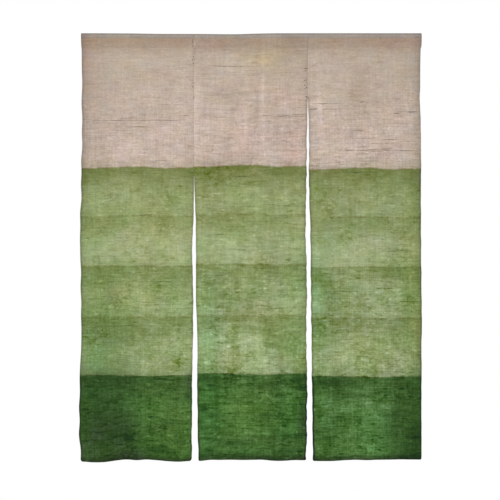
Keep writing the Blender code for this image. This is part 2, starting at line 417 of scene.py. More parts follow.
# What each kind of uneven dye or dirt multiplies the colour by; one kind also holds a painted shadow
# along the hem, one painted highlights along folds, and one is painted plain shade
STAIN_TINTS = {
    "lush": (0.72, 0.99, 0.88),
    "olive": (1.12, 0.99, 0.76),
    "straw": (1.02, 1.00, 0.76),
    "soot_and_hem_shadow": (0.56, 0.46, 0.74),
    "faded": (1.55, 1.28, 1.90),
    "blush": (1.04, 0.93, 0.93),
    "rich": (0.78, 0.86, 0.72),
    "dark": (0.55, 0.61, 0.55),
    "inky": (0.40, 0.56, 0.38),
    "ashen": (1.05, 1.01, 1.20),
    "plain_shade": (0.87, 0.865, 0.86),
    "bleach_and_highlight": (1.20, 1.20, 1.23),
}

# Soft oval places where the dye took unevenly, the cloth is soiled, washing faded it, and a few painted
# ones:
# a shadow along the hem, highlights along folds and plain shade on the undyed top
STAINS = {
    # for each panel: across mm, depth m, half width mm, half height m, strength
    "lush": (
        ((-112, 0.821, 34, 0.06, 0.45), (-80, 0.93, 60, 0.05, 0.2)),
        (
            (-118, 0.77, 34, 0.12, 0.5), (-118, 0.96, 40, 0.1, 0.6), (112, 0.803, 30, 0.06, 0.35),
            (105, 0.975, 40, 0.09, 0.5),
        ),
        ((-128, 0.7, 34, 0.19, 0.6), (-105, 0.985, 45, 0.09, 0.2), (20, 1.047, 50, 0.04, 0.35)),
    ),
    "olive": (
        ((-20, 0.672, 110, 0.04, 0.45), (95, 1.0, 60, 0.09, 0.6), (60, 0.52, 70, 0.06, 0.3)),
        ((0, 0.965, 60, 0.06, 0.45), (30, 0.74, 80, 0.05, 0.35)),
        (
            (-10, 0.8, 90, 0.05, 0.35), (118, 1.02, 40, 0.07, 0.65), (128, 0.56, 28, 0.12, 0.4),
            (138, 0.76, 24, 0.11, 0.6),
        ),
    ),
    "straw": (
        ((-10, 0.11, 60, 0.03, 0.16), (-40, 0.02, 130, 0.016, 0.3)),
        ((42, 0.068, 56, 0.036, 0.62),),
        ((-25, 0.18, 70, 0.05, 0.15),),
    ),
    "soot_and_hem_shadow": (
        (
            # The last oval in this row, low on the left panel at the hem, is a painted shadow along the
            # hem
            (-100, 1.045, 80, 0.08, 0.8), (-22, 1.04, 34, 0.046, 0.5), (-12, 1.092, 45, 0.016, 0.75),
            (138, 0.9, 18, 0.03, 0.5), (52, 1.016, 14, 0.01, 0.45), (-70, 0.676, 26, 0.028, 0.22),
            (-60, 0.79, 40, 0.016, 0.2),
        ),
        ((140, 0.994, 15, 0.044, 0.85), (20, 1.047, 60, 0.008, 0.3), (40, 1.098, 60, 0.01, 0.5)),
        ((-128, 1.02, 16, 0.014, 0.4),),
    ),
    "faded": (
        ((108, 0.975, 30, 0.045, 0.25), (-60, 1.065, 40, 0.016, 0.2), (20, 0.575, 60, 0.035, 0.14)),
        ((-95, 1.06, 34, 0.02, 0.28), (118, 0.925, 40, 0.03, 0.26), (40, 0.915, 110, 0.026, 0.22)),
        (
            (12, 0.96, 58, 0.03, 0.5), (-62, 1.06, 52, 0.028, 0.35), (0, 0.64, 46, 0.03, 0.14),
            (-112, 0.945, 48, 0.065, 0.6),
        ),
    ),
    "blush": (
        ((-132, 0.06, 22, 0.09, 0.7), (110, 0.022, 40, 0.014, 0.8)),
        (
            (-90, 0.026, 50, 0.014, 0.6), (110, 0.3, 34, 0.05, 0.7), (-20, 0.3, 60, 0.06, 0.5),
            (50, 0.15, 60, 0.04, 0.25),
        ),
        ((60, 0.024, 80, 0.014, 0.7),),
    ),
    "rich": (
        ((-86, 0.765, 84, 0.12, 1.25), (-128, 0.5, 56, 0.15, 0.6), (-95, 0.626, 66, 0.026, 0.55)),
        ((128, 0.64, 36, 0.24, 0.5), (10, 0.5, 110, 0.06, 0.25), (126, 0.612, 54, 0.034, 0.85)),
        (
            (138, 0.65, 34, 0.28, 1.1), (10, 0.48, 150, 0.13, 0.45), (20, 0.76, 110, 0.06, 0.25),
            (60, 0.61, 66, 0.026, 0.45), (138, 0.76, 28, 0.12, 1.05),
        ),
    ),
    "dark": (
        (
            (-80, 0.945, 86, 0.12, 1.0), (100, 0.955, 76, 0.07, 0.35), (-70, 0.9, 84, 0.026, 0.5),
            (-22, 0.965, 32, 0.06, 0.35),
        ),
        ((0, 1.08, 170, 0.045, 0.45), (-126, 1.03, 34, 0.06, 0.5), (132, 1.06, 30, 0.06, 0.35)),
        ((128, 1.03, 62, 0.12, 0.85), (80, 0.965, 50, 0.06, 0.25), (92, 1.035, 42, 0.07, 0.55)),
    ),
    "inky": (
        (
            (90, 1.003, 26, 0.008, 0.85), (136, 0.934, 12, 0.009, 1.1), (48, 1.074, 46, 0.01, 0.94),
            (120, 1.05, 22, 0.006, 0.68),
        ),
        (
            (-107, 0.909, 17, 0.007, 1.02), (-122, 0.888, 22, 0.006, 0.85),
            (-129, 0.965, 12, 0.009, 1.27), (-104, 0.985, 16, 0.005, 0.77), (44, 0.906, 26, 0.005, 0.85),
            (126, 0.893, 20, 0.008, 1.02), (38, 0.986, 24, 0.006, 0.68), (116, 1.038, 24, 0.007, 1.02),
            (84, 1.033, 18, 0.006, 0.68), (-52, 1.057, 34, 0.008, 0.85), (-122, 1.079, 24, 0.006, 1.02),
            (-50, 1.089, 70, 0.005, 0.77), (92, 1.077, 32, 0.009, 0.85),
        ),
        (
            (126, 1.05, 34, 0.055, 0.85), (116, 1.098, 50, 0.014, 1.1), (136, 0.945, 18, 0.1, 0.35),
            (-88, 0.896, 54, 0.011, 0.94), (62, 0.987, 26, 0.005, 0.85), (-104, 1.041, 20, 0.006, 0.85),
            (-30, 0.934, 40, 0.006, 0.68),
        ),
    ),
    "ashen": (
        (),
        ((-30, 0.735, 90, 0.065, 0.85),),
        ((-6, 0.755, 76, 0.08, 0.95), (-10, 0.49, 120, 0.075, 0.7), (20, 0.965, 90, 0.1, 0.8)),
    ),
    # Painted plain shade: darker without a change of hue, on the undyed top of the cloth
    "plain_shade": (
        ((-122, 0.11, 70, 0.13, 0.85), (-134, 0.275, 56, 0.09, 0.9)),
        ((96, 0.075, 50, 0.06, 0.45),),
        ((110, 0.3, 60, 0.07, 0.4), (90, 0.09, 90, 0.07, 0.35), (-25, 0.18, 66, 0.045, 0.7)),
    ),
    # Paler places, and a few painted highlights along folds
    "bleach_and_highlight": (
        ((112, 0.81, 60, 0.07, 0.6),),
        (
            # The narrow upright ovals at 31 and -12 mm across are painted highlights along folds
            (-34, 0.795, 62, 0.055, 0.6), (31, 0.19, 6, 0.12, 1.15), (-12, 0.23, 6, 0.09, 0.6),
            (62, 0.15, 50, 0.03, 0.25), (96, 0.79, 46, 0.07, 0.32), (-118, 0.79, 34, 0.08, 0.3),
            (90, 0.7, 32, 0.04, 0.3),
        ),
        # The narrow upright oval at -116 mm across is a painted highlight along a fold
        ((-116, 0.225, 7, 0.11, 0.8), (-8, 0.8, 74, 0.06, 0.4)),
    ),
}

# The stage: the floor's half width and paint, and the key light's size, place and aim
FLOOR_REACH = 2.6
FLOOR_PAINT = (0.86, 0.86, 0.85, 1.0)
KEY_SIZE = 2.9
KEY_PLACE = (-1.6, -5.1, 1.4)
KEY_AIM = (0.0, 0.0, -0.5)

# The shine of the cloth and of the thread
CLOTH_FINISH = {"Specular IOR Level": 0.25, "Sheen Weight": 0.12, "Sheen Roughness": 0.45}
THREAD_FINISH = {"Specular IOR Level": 0.3}

# The weave's yarn spacing in m, and the turns of a thread's twist in each m
WEAVE_PITCH = 0.00085
TWIST_TURNS = 900.0


def linear(red, green, blue):
    """Turn a colour written as 0 to 255 into Blender's linear numbers."""
    shares = [channel / 255 for channel in (red, green, blue)]
    return [share / 12.92 if share < 0.04045 else ((share + 0.055) / 1.055) ** 2.4 for share in shares]


def length(name, description, default):
    """Describe a size in metres."""
    return bpy.props.FloatProperty(
        name=name, description=description, default=default, min=0.0, precision=5, unit="LENGTH"
    )


def colour(name, description, default):
    """Describe a colour, its default written as 0 to 255."""
    return bpy.props.FloatVectorProperty(
        name=name, description=description, default=linear(*default), subtype="COLOR", min=0.0, max=1.0
    )


def amount(name, description, default):
    """Describe a plain number."""
    return bpy.props.FloatProperty(name=name, description=description, default=default)


def dye_properties():
    """List the dye's colours and levels, two colours and a level for each band."""
    found = {
        "undyed_top": colour("Undyed, top", "Bare hemp under the pocket", (186, 170, 154)),
        "undyed_low": colour("Undyed, low", "Bare hemp above the first dye line", (197, 178, 165)),
        "soft": length("Line softness", "How far a dye line blurs", 0.0035),
        "creep": length("Creep", "How far the dye crept up unevenly", 0.0070),
    }
    for number, (name, level, top, low) in enumerate(DYE_BANDS):
        found[f"level_{number}"] = length(f"{name} level", f"Top of the {name.lower()} band", level)
        found[f"top_{number}"] = colour(f"{name}, line", f"{name} under its dye line", top)
        found[f"low_{number}"] = colour(f"{name}, body", f"{name} further down", low)
    return found


class NorenCloth(bpy.types.PropertyGroup):
    """Sizes of the hanging cloth."""

    width: length("Width", "All panels side by side", 0.880)
    drop: length("Drop", "Top fold to bottom hem", 1.100)
    cloth: length("Cloth", "Thickness of the hemp", 0.0005)
    layer: length("Layer", "Spacing of folded layers", 0.00075)
    rod_room: length("Rod room", "Largest rod that slides through", 0.014)
    solid_cloth: length("Solid cloth", "Thickness that the solid panels have", 0.0012)
    pocket: length("Pocket", "Top fold to stitch line", 0.036)
    lip: length("Pocket lip", "Folded edge below the stitch line", 0.003)
    seam_end: length("Seam end", "Where the slits begin", 0.169)
    side_hem: length("Side hem", "Width of the side hems", 0.006)
    bottom_hem: length("Bottom hem", "Height of the bottom hem", 0.011)
    cockle: length("Cockle", "Height of the broad unevenness", 0.0011)
    crumple: length("Crumple", "Height of the fine unevenness", 0.00024)
    draw_together: length("Draw together", "How far a seam pulls each edge in", 0.00022)


class NorenDye(bpy.types.PropertyGroup):
    """Colours and levels of the dip dye."""

    __annotations__ = dye_properties()


class NorenThread(bpy.types.PropertyGroup):
    """Sewing thread and stitches."""

    thick: length("Thread", "Thickness of the thread", 0.00055)
    pocket_stitch: length("Pocket stitch", "Length of a stitch under the rod", 0.0034)
    pocket_pitch: length("Pocket pitch", "Stitch to stitch under the rod", 0.0052)
    hem_stitch: length("Hem stitch", "Length of a hem stitch", 0.0018)
    hem_pitch: length("Hem pitch", "Stitch to stitch along a hem", 0.0075)
    seam_pitch: length("Seam pitch", "Stitch to stitch between panels", 0.0055)
    knot_colour: colour("Knot", "Dark waxed thread of the knots", (88, 74, 58))


class NorenStage(bpy.types.PropertyGroup):
    """Camera, lights and floor."""

    view_width: length("View width", "Width that the picture shows", 1.2869)
    view_x: bpy.props.FloatProperty(
        name="View X", description="Middle of the picture", default=-0.0033, unit="LENGTH"
    )
    view_z: bpy.props.FloatProperty(
        name="View Z", description="Middle of the picture", default=-0.5578, unit="LENGTH"
    )
    distance: length("Distance", "Camera to cloth", 4.0)
    floor_depth: length("Floor depth", "Floor below the top fold", 1.95)
    sky: amount("Fill", "Strength of the even light", 0.665)
    key: amount("Key", "Power of the key light in watts", 161.0)


def smooth_step(start, end, value):
    """Give 0 before start, 1 after end, and an S-shaped rise between them."""
    share = np.clip((value - start) / (end - start), 0.0, 1.0)
    return share * share * (3.0 - 2.0 * share)


def between(begins, full, falls, ends, value):
    """Give 0 before begins, 1 from full to falls and 0 after ends, with smooth steps."""
    return smooth_step(begins, full, value) * (1.0 - smooth_step(falls, ends, value))


def bell(gap, width):
    """Give 1 where the gap is 0, and less on both sides: a bell of this half width."""
    return np.exp(-((gap / width) ** 2))


def curve_through(table, column, at):
    """Read a table's column along its first one, on a cubic curve through its rows."""
    rows = np.array(table, dtype=float)
    knots = rows[:, 0]
    values = rows[:, column]
    slopes = np.zeros(len(knots))
    slopes[1:-1] = (values[2:] - values[:-2]) / (knots[2:] - knots[:-2])
    cell = np.clip(np.searchsorted(knots, at, side="right") - 1, 0, len(knots) - 2)
    span = knots[cell + 1] - knots[cell]
    share = np.clip((at - knots[cell]) / span, 0.0, 1.0)
    rise = share * share * (3.0 - 2.0 * share)
    leave = share * (1.0 - share) ** 2 * span * slopes[cell]
    arrive = share * share * (share - 1.0) * span * slopes[cell + 1]
    return values[cell] * (1.0 - rise) + values[cell + 1] * rise + leave + arrive


def waves(seed, across, down, longest, shortest, count):
    """Add up sine waves of random direction and length: an even unevenness of about 1 high."""
    draw = np.random.default_rng(seed)
    total = np.zeros(np.broadcast(across, down).shape)
    for _ in range(count):
        turn, start = draw.uniform(0.0, 2.0 * math.pi, 2)
        reach = 2.0 * math.pi / draw.uniform(shortest, longest)
        total += np.sin(reach * (across * math.cos(turn) + down * math.sin(turn)) + start)
    return total * math.sqrt(2.0 / count)


def sewn_side(number, side):
    """Tell whether a panel is joined to another one at its left (-1) or right (1) edge."""
    return 0 <= number + side < len(PANELS)


def corner_inset(radius, drop, depth):
    """Give how far a rounded bottom corner of this radius draws the edge in."""
    below = np.clip(depth - (drop - radius), 0.0, radius)
    return radius - np.sqrt(radius * radius - below * below)


def panel_edges(sizes, number, depth):
    """Give the X of a panel's left and right edges: the table's curve, small waves, corners."""
    panel = sizes.width / len(PANELS)
    found = []
    for side, line in ((-1, number * panel), (1, (number + 1) * panel)):
        column = 1 + 2 * number + (side > 0)
        free = sizes.pocket
        if sewn_side(number, side):
            free = SLIT_OPENS[number - (side < 0)]
        small = waves(31 * number + side + EDGE_SEED, 0.0, depth, *EDGE_WAVES)
        small = MM * WANDER[number][side > 0] * small * smooth_step(free, free + EDGE_REACH, depth)
        inset = corner_inset(CORNERS[number][side > 0], sizes.drop, depth)
        edge = line - sizes.width / 2 + MM * curve_through(EDGES, column, depth)
        if sewn_side(number, side):
            drawn = 1.0 - smooth_step(free - SEAM_END_REACH, free, depth)
            edge = edge + side * sizes.draw_together * drawn
        found.append(edge + small - side * inset)
    return found


def creases(number, across, depth):
    """Give how far the creases push the cloth forward: a bell across each short line.

    The distance to a line is taken from its nearest point, so its ends are round and soft.
    """
    forward = np.zeros(np.broadcast(across, depth).shape)
    for panel, from_x, from_z, to_x, to_z, half_width, height in CREASES:
        if panel != number:
            continue
        run = np.array([MM * (to_x - from_x), to_z - from_z])
        right = across - MM * from_x
        down = depth - from_z
        share = np.clip((right * run[0] + down * run[1]) / (run @ run), 0.0, 1.0)
        gap = np.hypot(right - share * run[0], down - share * run[1])
        swell = CREASE_SWELL[0] + CREASE_SWELL[1] * np.sin(math.pi * share)
        forward += MM * height * swell * bell(gap, MM * half_width)
    return forward


def fold_back(sizes, number, share, depth):
    """Give the Y of the middle of the cloth below the pocket.

    Folds are bells across the panel that grow with depth. Side ripples, broad cockles, fine
    crumples and creases are added, and all of it dies out towards a sewn seam.
    """
    panel = sizes.width / len(PANELS)
    across = (share - 0.5) * panel
    forward = np.zeros(np.broadcast(share, depth).shape)
    for place, half_width, height, begins, lean in FOLDS[number]:
        middle = MM * (place + lean * depth)
        shape = bell(across - middle, MM * half_width)
        forward += MM * height * shape * smooth_step(begins, begins + FOLD_GROWTH, depth)
    hanging = smooth_step(sizes.pocket, sizes.pocket + HANG_REACH, depth)
    cockles = waves(COCKLE_SEED + number, across, depth * COCKLE_STRETCH, *COCKLE_WAVES)
    forward += sizes.cockle * hanging * cockles
    forward += sizes.crumple * hanging * waves(CRUMPLE_SEED + number, across, depth, *CRUMPLE_WAVES)
    forward += creases(number, across, depth)
    for side, edge in ((-1, -panel / 2), (1, panel / 2)):
        wave = np.sin(2.0 * math.pi * depth / RIPPLE_PERIOD + side + RIPPLE_TURN * number)
        reach = bell(across - edge, RIPPLE_REACH)
        forward += RIPPLE * wave * reach * smooth_step(sizes.pocket, sizes.seam_end, depth)
        if sewn_side(number, side):
            near = bell(across - edge, SEAM_REACH)
            forward *= 1.0 - near * (1.0 - smooth_step(sizes.seam_end, SEAM_RELEASE, depth))
    return -forward


def place(sizes, number, share, back, depth):
    """Turn shares across a panel, distances back and depths into points in space."""
    left, right = panel_edges(sizes, number, depth)
    x = left + share * (right - left)
    held = np.clip(1.0 - depth / sizes.pocket, 0.0, 1.0)
    sag = MM * curve_through(TOP_SAG, 1, x) * held
    hang = MM * curve_through(HEM_DROP, 1 + number, share)
    z = -depth - sag - hang * smooth_step(HEM_DROP_FROM, sizes.drop, depth)
    y = back + fold_back(sizes, number, share, depth)
    return np.stack(np.broadcast_arrays(x, y, z), axis=-1)


def across_path(sizes):
    """Carry the cloth across a panel: hem behind, round the fold, main sheet, fold and hem.

    Gives each column's distance from the left edge, its layer (0 in front, 1 behind) and its
    distance on the flat cloth.
    """
    panel = sizes.width / len(PANELS)
    bend = sizes.layer / 2
    turn = np.linspace(0.0, math.pi, 7)[1:-1]
    hem = np.linspace(sizes.side_hem, bend, 5)
    hem_rows = sizes.side_hem + np.array(HEM_COLUMNS)
    start = np.array([bend, *EDGE_COLUMNS])
    middle = np.linspace(SHEET_FROM, panel / 2 - sizes.cloth / 2, 38)
    half_place = np.concatenate([hem, bend - bend * np.sin(turn), start, hem_rows, middle])
    half_place += sizes.cloth / 2
    half_layer = np.concatenate([np.ones(len(hem)), (1.0 + np.cos(turn)) / 2])
    half_layer = np.concatenate([half_layer, np.zeros(len(half_place) - len(half_layer))])
    where = np.concatenate([half_place, panel - half_place[-2::-1]])
    layer = np.concatenate([half_layer, half_layer[-2::-1]])
    run = np.hypot(np.diff(where), np.diff(layer) * sizes.layer)
    flat = np.concatenate([[0.0], np.cumsum(run)])
    first = len(hem) + len(turn)
    return where, layer, flat - flat[first] + where[first]


def pocket_lines(sizes, flap):
    """Give the rod's circle and the slant of the pocket's front and back below it.

    Each slanted line leaves the stitch line and touches the circle: the angle whose sine is
    the radius over the distance to the centre, less the angle by which that foot stands off.
    """
    centre = sizes.rod_room / 2 + sizes.solid_cloth
    radius = centre - sizes.cloth / 2
    below = sizes.pocket - centre
    front = math.asin(radius / below)
    back = np.arcsin(radius / np.hypot(below, flap)) - np.arctan(flap / below)
    return centre, radius, front, back


def down_path(sizes, corner):
    """Carry the cloth from the turned-in end in the pocket to the end of the bottom hem.

    In order: up to the lip inside the pocket, round the lip, up the flap, over the rod, down
    the front, down the hanging sheet, round the bottom fold and up the hem. A corner, where
    side hems lie in the fold as well, takes three layers in place of one. Gives depth and back
    for each column and row, and the name of the stretch that each row is in.
    """
    turn = sizes.layer * (1.0 + 2.0 * corner)[:, None]
    flap = sizes.layer * (2.0 + 3.0 * corner)[:, None]
    centre, radius, front, back = pocket_lines(sizes, flap)
    lip = sizes.pocket + sizes.lip - sizes.cloth / 2 - turn / 2
    bottom = sizes.drop - sizes.cloth / 2 - turn / 2
    arc = np.linspace(0.0, math.pi, 7)[None, 1:-1]
    stretches = []

    def lay(name, depth, behind):
        stretches.append((name, *np.broadcast_arrays(depth, behind)))

    def flap_line(depth):
        return flap + np.clip(sizes.pocket - depth, 0.0, None) * np.tan(back)

    inside = lip - np.linspace(TURNED_IN, 0.0, 4)[None, :]
    lay("turned", inside, flap_line(inside) - turn)
    lay("lip", lip + turn / 2 * np.sin(arc), flap - turn / 2 - turn / 2 * np.cos(arc))
    foot = lip + (sizes.pocket - lip) * np.linspace(0.0, 1.0, 3)[None, :-1]
    lay("flap", foot, flap + 0.0 * foot)
    tangent = centre + radius * np.sin(back)
    climb = sizes.pocket + (tangent - sizes.pocket) * np.linspace(0.0, 1.0, 9)[None, :-1]
    lay("flap", climb, flap_line(climb))
    angle = (-math.pi - back) + (front + math.pi + back) * np.linspace(0.0, 1.0, 22)[None, :]
    lay("roll", centre + radius * np.sin(angle), -radius * np.cos(angle))
    near = np.array(ABOVE_STITCHES)
    touch = centre + radius * math.sin(front)
    fall = np.concatenate([np.linspace(touch, sizes.pocket - near[0], 6)[1:-1], sizes.pocket - near])
    lay("front", fall[None, :], -(sizes.pocket - fall)[None, :] * math.tan(front))
    start = sizes.pocket + np.array(BELOW_STITCHES)
    hem_top = sizes.drop - sizes.bottom_hem
    body = np.linspace(start[-1], hem_top - SHEET_ENDS, SHEET_ROWS)[1:]
    body = np.concatenate([start, body, hem_top + np.array(HEM_ROWS)])
    lay("sheet", body[None, :], np.zeros((1, len(body))))
    last = body[-1] + (bottom - body[-1]) * np.linspace(0.0, 1.0, 5)[None, 1:]
    lay("sheet", last, 0.0 * last)
    lay("fold", bottom + turn / 2 * np.sin(arc), turn / 2 - turn / 2 * np.cos(arc))
    hem = bottom - (sizes.bottom_hem - turn / 2) * np.linspace(0.0, 1.0, 5)[None, :]
    lay("hem", hem, turn + 0.0 * hem)
    names, depths, behinds = zip(*stretches)
    shapes = [(len(corner), rows.shape[1]) for rows in depths]
    depth = np.concatenate([np.broadcast_to(*pair) for pair in zip(depths, shapes)], axis=1)
    behind = np.concatenate([np.broadcast_to(*pair) for pair in zip(behinds, shapes)], axis=1)
    return depth, behind, np.repeat(names, [rows for _, rows in shapes])


def puckers(sizes, across, depth):
    """Give how far the pocket's stitches draw the cloth back, in small gathers along them."""
    reach = np.exp(-np.abs(depth - sizes.pocket) / GATHER_REACH)
    gather = waves(GATHER_SEED, across, 0.0 * depth, *GATHER_WAVES)
    drawn = bell(depth - sizes.pocket, STITCH_DIP_REACH)
    return GATHER * reach * gather + STITCH_DIP * drawn


def hem_relief(sizes, inward, depth):
    """Give how far the folded hems behind it push the front sheet forward."""
    side = 1.0 - smooth_step(sizes.side_hem - HEM_INSIDE, sizes.side_hem + HEM_OUTSIDE, inward)
    top = sizes.drop - sizes.bottom_hem
    bottom = smooth_step(top - HEM_OUTSIDE, top + HEM_INSIDE, depth)
    return HEM_HEIGHT * np.maximum(side, bottom)


def panel_grid(sizes, number):
    """Work out one panel's points, flat places and sewing masks on a grid.

    A point is its column's layer carried along the inward normal of the path down the cloth,
    placed between the panel's edges.
    """
    panel = sizes.width / len(PANELS)
    where, layer, flat_across = across_path(sizes)
    inward = np.minimum(where, panel - where)
    corner = 1.0 - smooth_step(sizes.side_hem, sizes.side_hem + CORNER_REACH, inward)
    depth, back, names = down_path(sizes, corner)
    along = np.gradient(back, axis=1), np.gradient(depth, axis=1)
    size = np.hypot(*along)
    layer = layer[:, None] * sizes.layer
    far_back = back + layer * along[1] / size
    far_depth = depth - layer * along[0] / size
    inward = inward[:, None]
    across = where[:, None]
    front = (names == "front") | (names == "sheet")
    facing = front[None, :] & (layer < sizes.layer / 2)
    far_back = far_back + np.where(facing, puckers(sizes, across, depth), 0.0)
    far_back = far_back - np.where(facing, hem_relief(sizes, inward, depth), 0.0)
    points = place(sizes, number, across / panel, far_back, far_depth)
    middle = len(where) // 2
    run = np.hypot(np.diff(back[middle]), np.diff(depth[middle]))
    flat_down = np.concatenate([[0.0], np.cumsum(run)])
    first = int(np.argmax(names == "sheet"))
    flat_down += depth[middle, first] - flat_down[first]
    flat = np.stack(np.broadcast_arrays(flat_across[:, None], flat_down[None, :]), axis=-1)
    masks = sewing_masks(sizes, number, inward, depth, names, where[:, None])
    return points, flat, masks


def sewing_masks(sizes, number, inward, depth, names, across):
    """Give the masks of every point of a panel's grid.

    One mask marks the hems and the pocket, which take painted shade where the cloth lies in two
    layers, fading out below the pocket's stitches; one holds painted shade on the folded edges,
    the borders, the bottom hem, the seams and the creases round the rod and in the cloth, and
    painted light on the joined edges and the creases' ridges; one marks the cloth that lies on
    the rod, and one the paler hem on the middle panel's left.
    """
    panel = sizes.width / len(PANELS)
    hem_top = sizes.drop - sizes.bottom_hem
    side = 1.0 - smooth_step(sizes.side_hem - HEM_BLUR, sizes.side_hem + HEM_BLUR, inward)
    bottom = smooth_step(hem_top - HEM_BLUR, hem_top + HEM_BLUR, depth)
    pocket = 1.0 - smooth_step(*POCKET_FADE, depth)
    low = np.clip(sizes.drop - depth, 0.0, None)
    joined = np.zeros(np.broadcast(across, depth).shape)
    for turn, near in ((-1, across < panel / 2), (1, across >= panel / 2)):
        if sewn_side(number, turn):
            opens = SLIT_OPENS[number - (turn < 0)]
            joined = np.where(near, 1.0 - smooth_step(opens - SLIT_BLUR, opens, depth), joined)
    # Painted shade where the cloth lies in two layers, in the hems and the pocket, fading out below the
    # pocket's stitches
    doubled_shade = np.maximum(HEM_DOUBLED * side * (1.0 - joined), HEM_DOUBLED * bottom)
    doubled_shade = np.maximum(doubled_shade, pocket)
    # Painted shade on the rounded folds of free edges and along the bottom hem, and painted light over
    # the groove where panels are joined
    edge = EDGE_SHADE * np.exp(-inward / EDGE_SHADE_REACH) * (1.0 - joined)
    edge = edge + JOIN_LIGHT * np.exp(-inward / JOIN_LIGHT_REACH) * joined
    painted_shading = np.maximum(edge, HEM_SHADE * bell(low, HEM_SHADE_REACH))
    # Painted shade along the top of the roll and where the cloth leaves the rod
    for level, reach, dark in ROD_CREASE_SHADES:
        painted_shading = np.maximum(painted_shading, dark * bell(depth - level, reach))
    dyed_part, deepest = (
        smooth_step(DYE_BANDS[band][1], DYE_BANDS[band][1] + DYE_BLUR, depth) for band in (0, -1)
    )
    # Painted shade on each panel's borders and on the rounded folds of its side hems
    for gap, dark, rims in zip((across, panel - across), BORDER_SHADES[number], RIMS[number]):
        dark = dark * (1.0 - BORDER_FADE * deepest)
        painted_shading = painted_shading + dark * bell(gap, BORDER_REACH) * (1.0 - joined)
        rim = rims[0] + (rims[1] - rims[0]) * dyed_part + (rims[2] - rims[1]) * deepest
        painted_shading = painted_shading + rim * bell(gap, RIM_REACH)
    # Painted shade along the hem beside each closed seam
    sewn = joined * smooth_step(sizes.pocket, sizes.pocket + SEAM_BLUR, depth)
    painted_shading = painted_shading + SEAM_SHADES[number] * sewn * bell(panel - across, SEAM_SHADE_REACH)
    # Painted shade in the creases' troughs and painted light on their ridges
    painted_shading = painted_shading - CREASE_SHADE * creases(number, across - panel / 2, depth)
    rolled = np.isin(names, ["roll", "front", "flap"])[None, :]
    roll = np.where(rolled, 1.0 - smooth_step(*ROLL_FADE, depth), 0.0)
    pale = PALE
    for fall, start, end in PALE_FALLS:
        pale = pale - fall * smooth_step(start, end, across)
    stripe = between(*STRIPE_DOWN, depth) * (1.0 - smooth_step(*STRIPE_IN, across))
    pale = (pale * between(*PALE_DOWN, depth) + stripe) * (number == 1)
    found = {"doubled_shade": doubled_shade, "painted_shading": painted_shading, "roll": roll, "pale": pale}
    found.update(stain_masks(number, across - panel / 2, depth))
    return {name: np.broadcast_to(mask, depth.shape) for name, mask in found.items()}


def stain_masks(number, across, depth):
    """Give a mask for each kind of stain: the sum of its soft ovals, each one a bell."""
    found = {}
    for kind in STAIN_TINTS:
        found[kind] = 0.0 * (across + depth)
        for middle, level, half_width, half_height, strength in STAINS[kind][number]:
            gap = ((across - MM * middle) / (MM * half_width)) ** 2 + ((depth - level) / half_height) ** 2
            found[kind] = found[kind] + strength * np.exp(-gap)
    return found


def new_mesh(name, points, quads, caps=()):
    """Put arrays of points and faces into a mesh, shaded smooth."""
    mesh = bpy.data.meshes.new(name)
    mesh.from_pydata(points.reshape(-1, 3), [], quads.tolist() + [list(cap) for cap in caps])
    mesh.shade_smooth()
    return mesh


def store_flat(mesh, name, flat):
    """Store a pair of numbers for each vertex as a UV map."""
    corners = np.empty(len(mesh.loops), dtype=np.int32)
    mesh.loops.foreach_get("vertex_index", corners)
    layer = mesh.uv_layers.new(name=name, do_init=False)
    layer.uv.foreach_set("vector", flat.reshape(-1, 2)[corners].astype(np.float32).ravel())


def store_mask(mesh, name, values):
    """Store a number for each vertex."""
    attribute = mesh.attributes.new(name, "FLOAT", "POINT")
    attribute.data.foreach_set("value", np.ascontiguousarray(values, dtype=np.float32).ravel())


def grid_quads(columns, rows):
    """List the quads of a grid whose points run down one column after another."""
    index = np.arange(columns * rows).reshape(columns, rows)
    corners = (index[:-1, :-1], index[1:, :-1], index[1:, 1:], index[:-1, 1:])
    return np.stack(corners, axis=-1).reshape(-1, 4)[:, ::-1]


def linked(name, data):
    """Make an object and link it to the scene."""
    made = bpy.data.objects.new(name, data)
    bpy.context.scene.collection.objects.link(made)
    return made


def put_in_scene(name, mesh, material):
    """Make a piece that sits at the origin and rides on the curtain's body."""
    piece = linked(name, mesh)
    mesh.materials.append(material)
    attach(piece, "root")
    return piece


def tubes(name, paths, flats, radii, squash=1.0, sides=6):
    """Make short closed tubes of thread: rings of points about each path, capped at its ends.

    A ring's two axes are square to the path: one lies in the cloth's plane, and the other one
    points out of it and is squashed. The twist map holds the share round the tube and the
    distance along it. The radii are one number or one for each point of the paths.
    """
    radii = np.broadcast_to(radii, paths.shape[:2])
    along = np.gradient(paths, axis=1)
    along /= np.linalg.norm(along, axis=2, keepdims=True)
    level = np.cross(along, (0.0, 1.0, 0.0))
    level /= np.linalg.norm(level, axis=2, keepdims=True)
    upward = squash * np.cross(level, along)
    angle = 2.0 * math.pi * np.arange(sides) / sides
    ring = np.cos(angle)[:, None] * level[:, :, None] + np.sin(angle)[:, None] * upward[:, :, None]
    points = paths[:, :, None] + radii[:, :, None, None] * ring
    count, rows = paths.shape[:2]
    index = np.arange(count * rows * sides).reshape(count, rows, sides)
    after = np.roll(index, -1, axis=2)
    corners = (index[:, :-1], after[:, :-1], after[:, 1:], index[:, 1:])
    quads = np.stack(corners, axis=-1).reshape(-1, 4)
    caps = index[:, 0, ::-1].tolist() + index[:, -1].tolist()
    mesh = new_mesh(name, points, quads, caps)
    spread = np.broadcast_to(flats[:, :, None], (count, rows, sides, 2))
    store_flat(mesh, FLAT_MAP, spread)
    run = np.concatenate([[0.0], np.cumsum(np.linalg.norm(np.diff(paths[0], axis=0), axis=1))])
    twist = np.stack(np.broadcast_arrays(np.arange(sides) / sides, run[:, None]), axis=-1)
    store_flat(mesh, TWIST_MAP, np.broadcast_to(twist, (count, rows, sides, 2)))
    return mesh


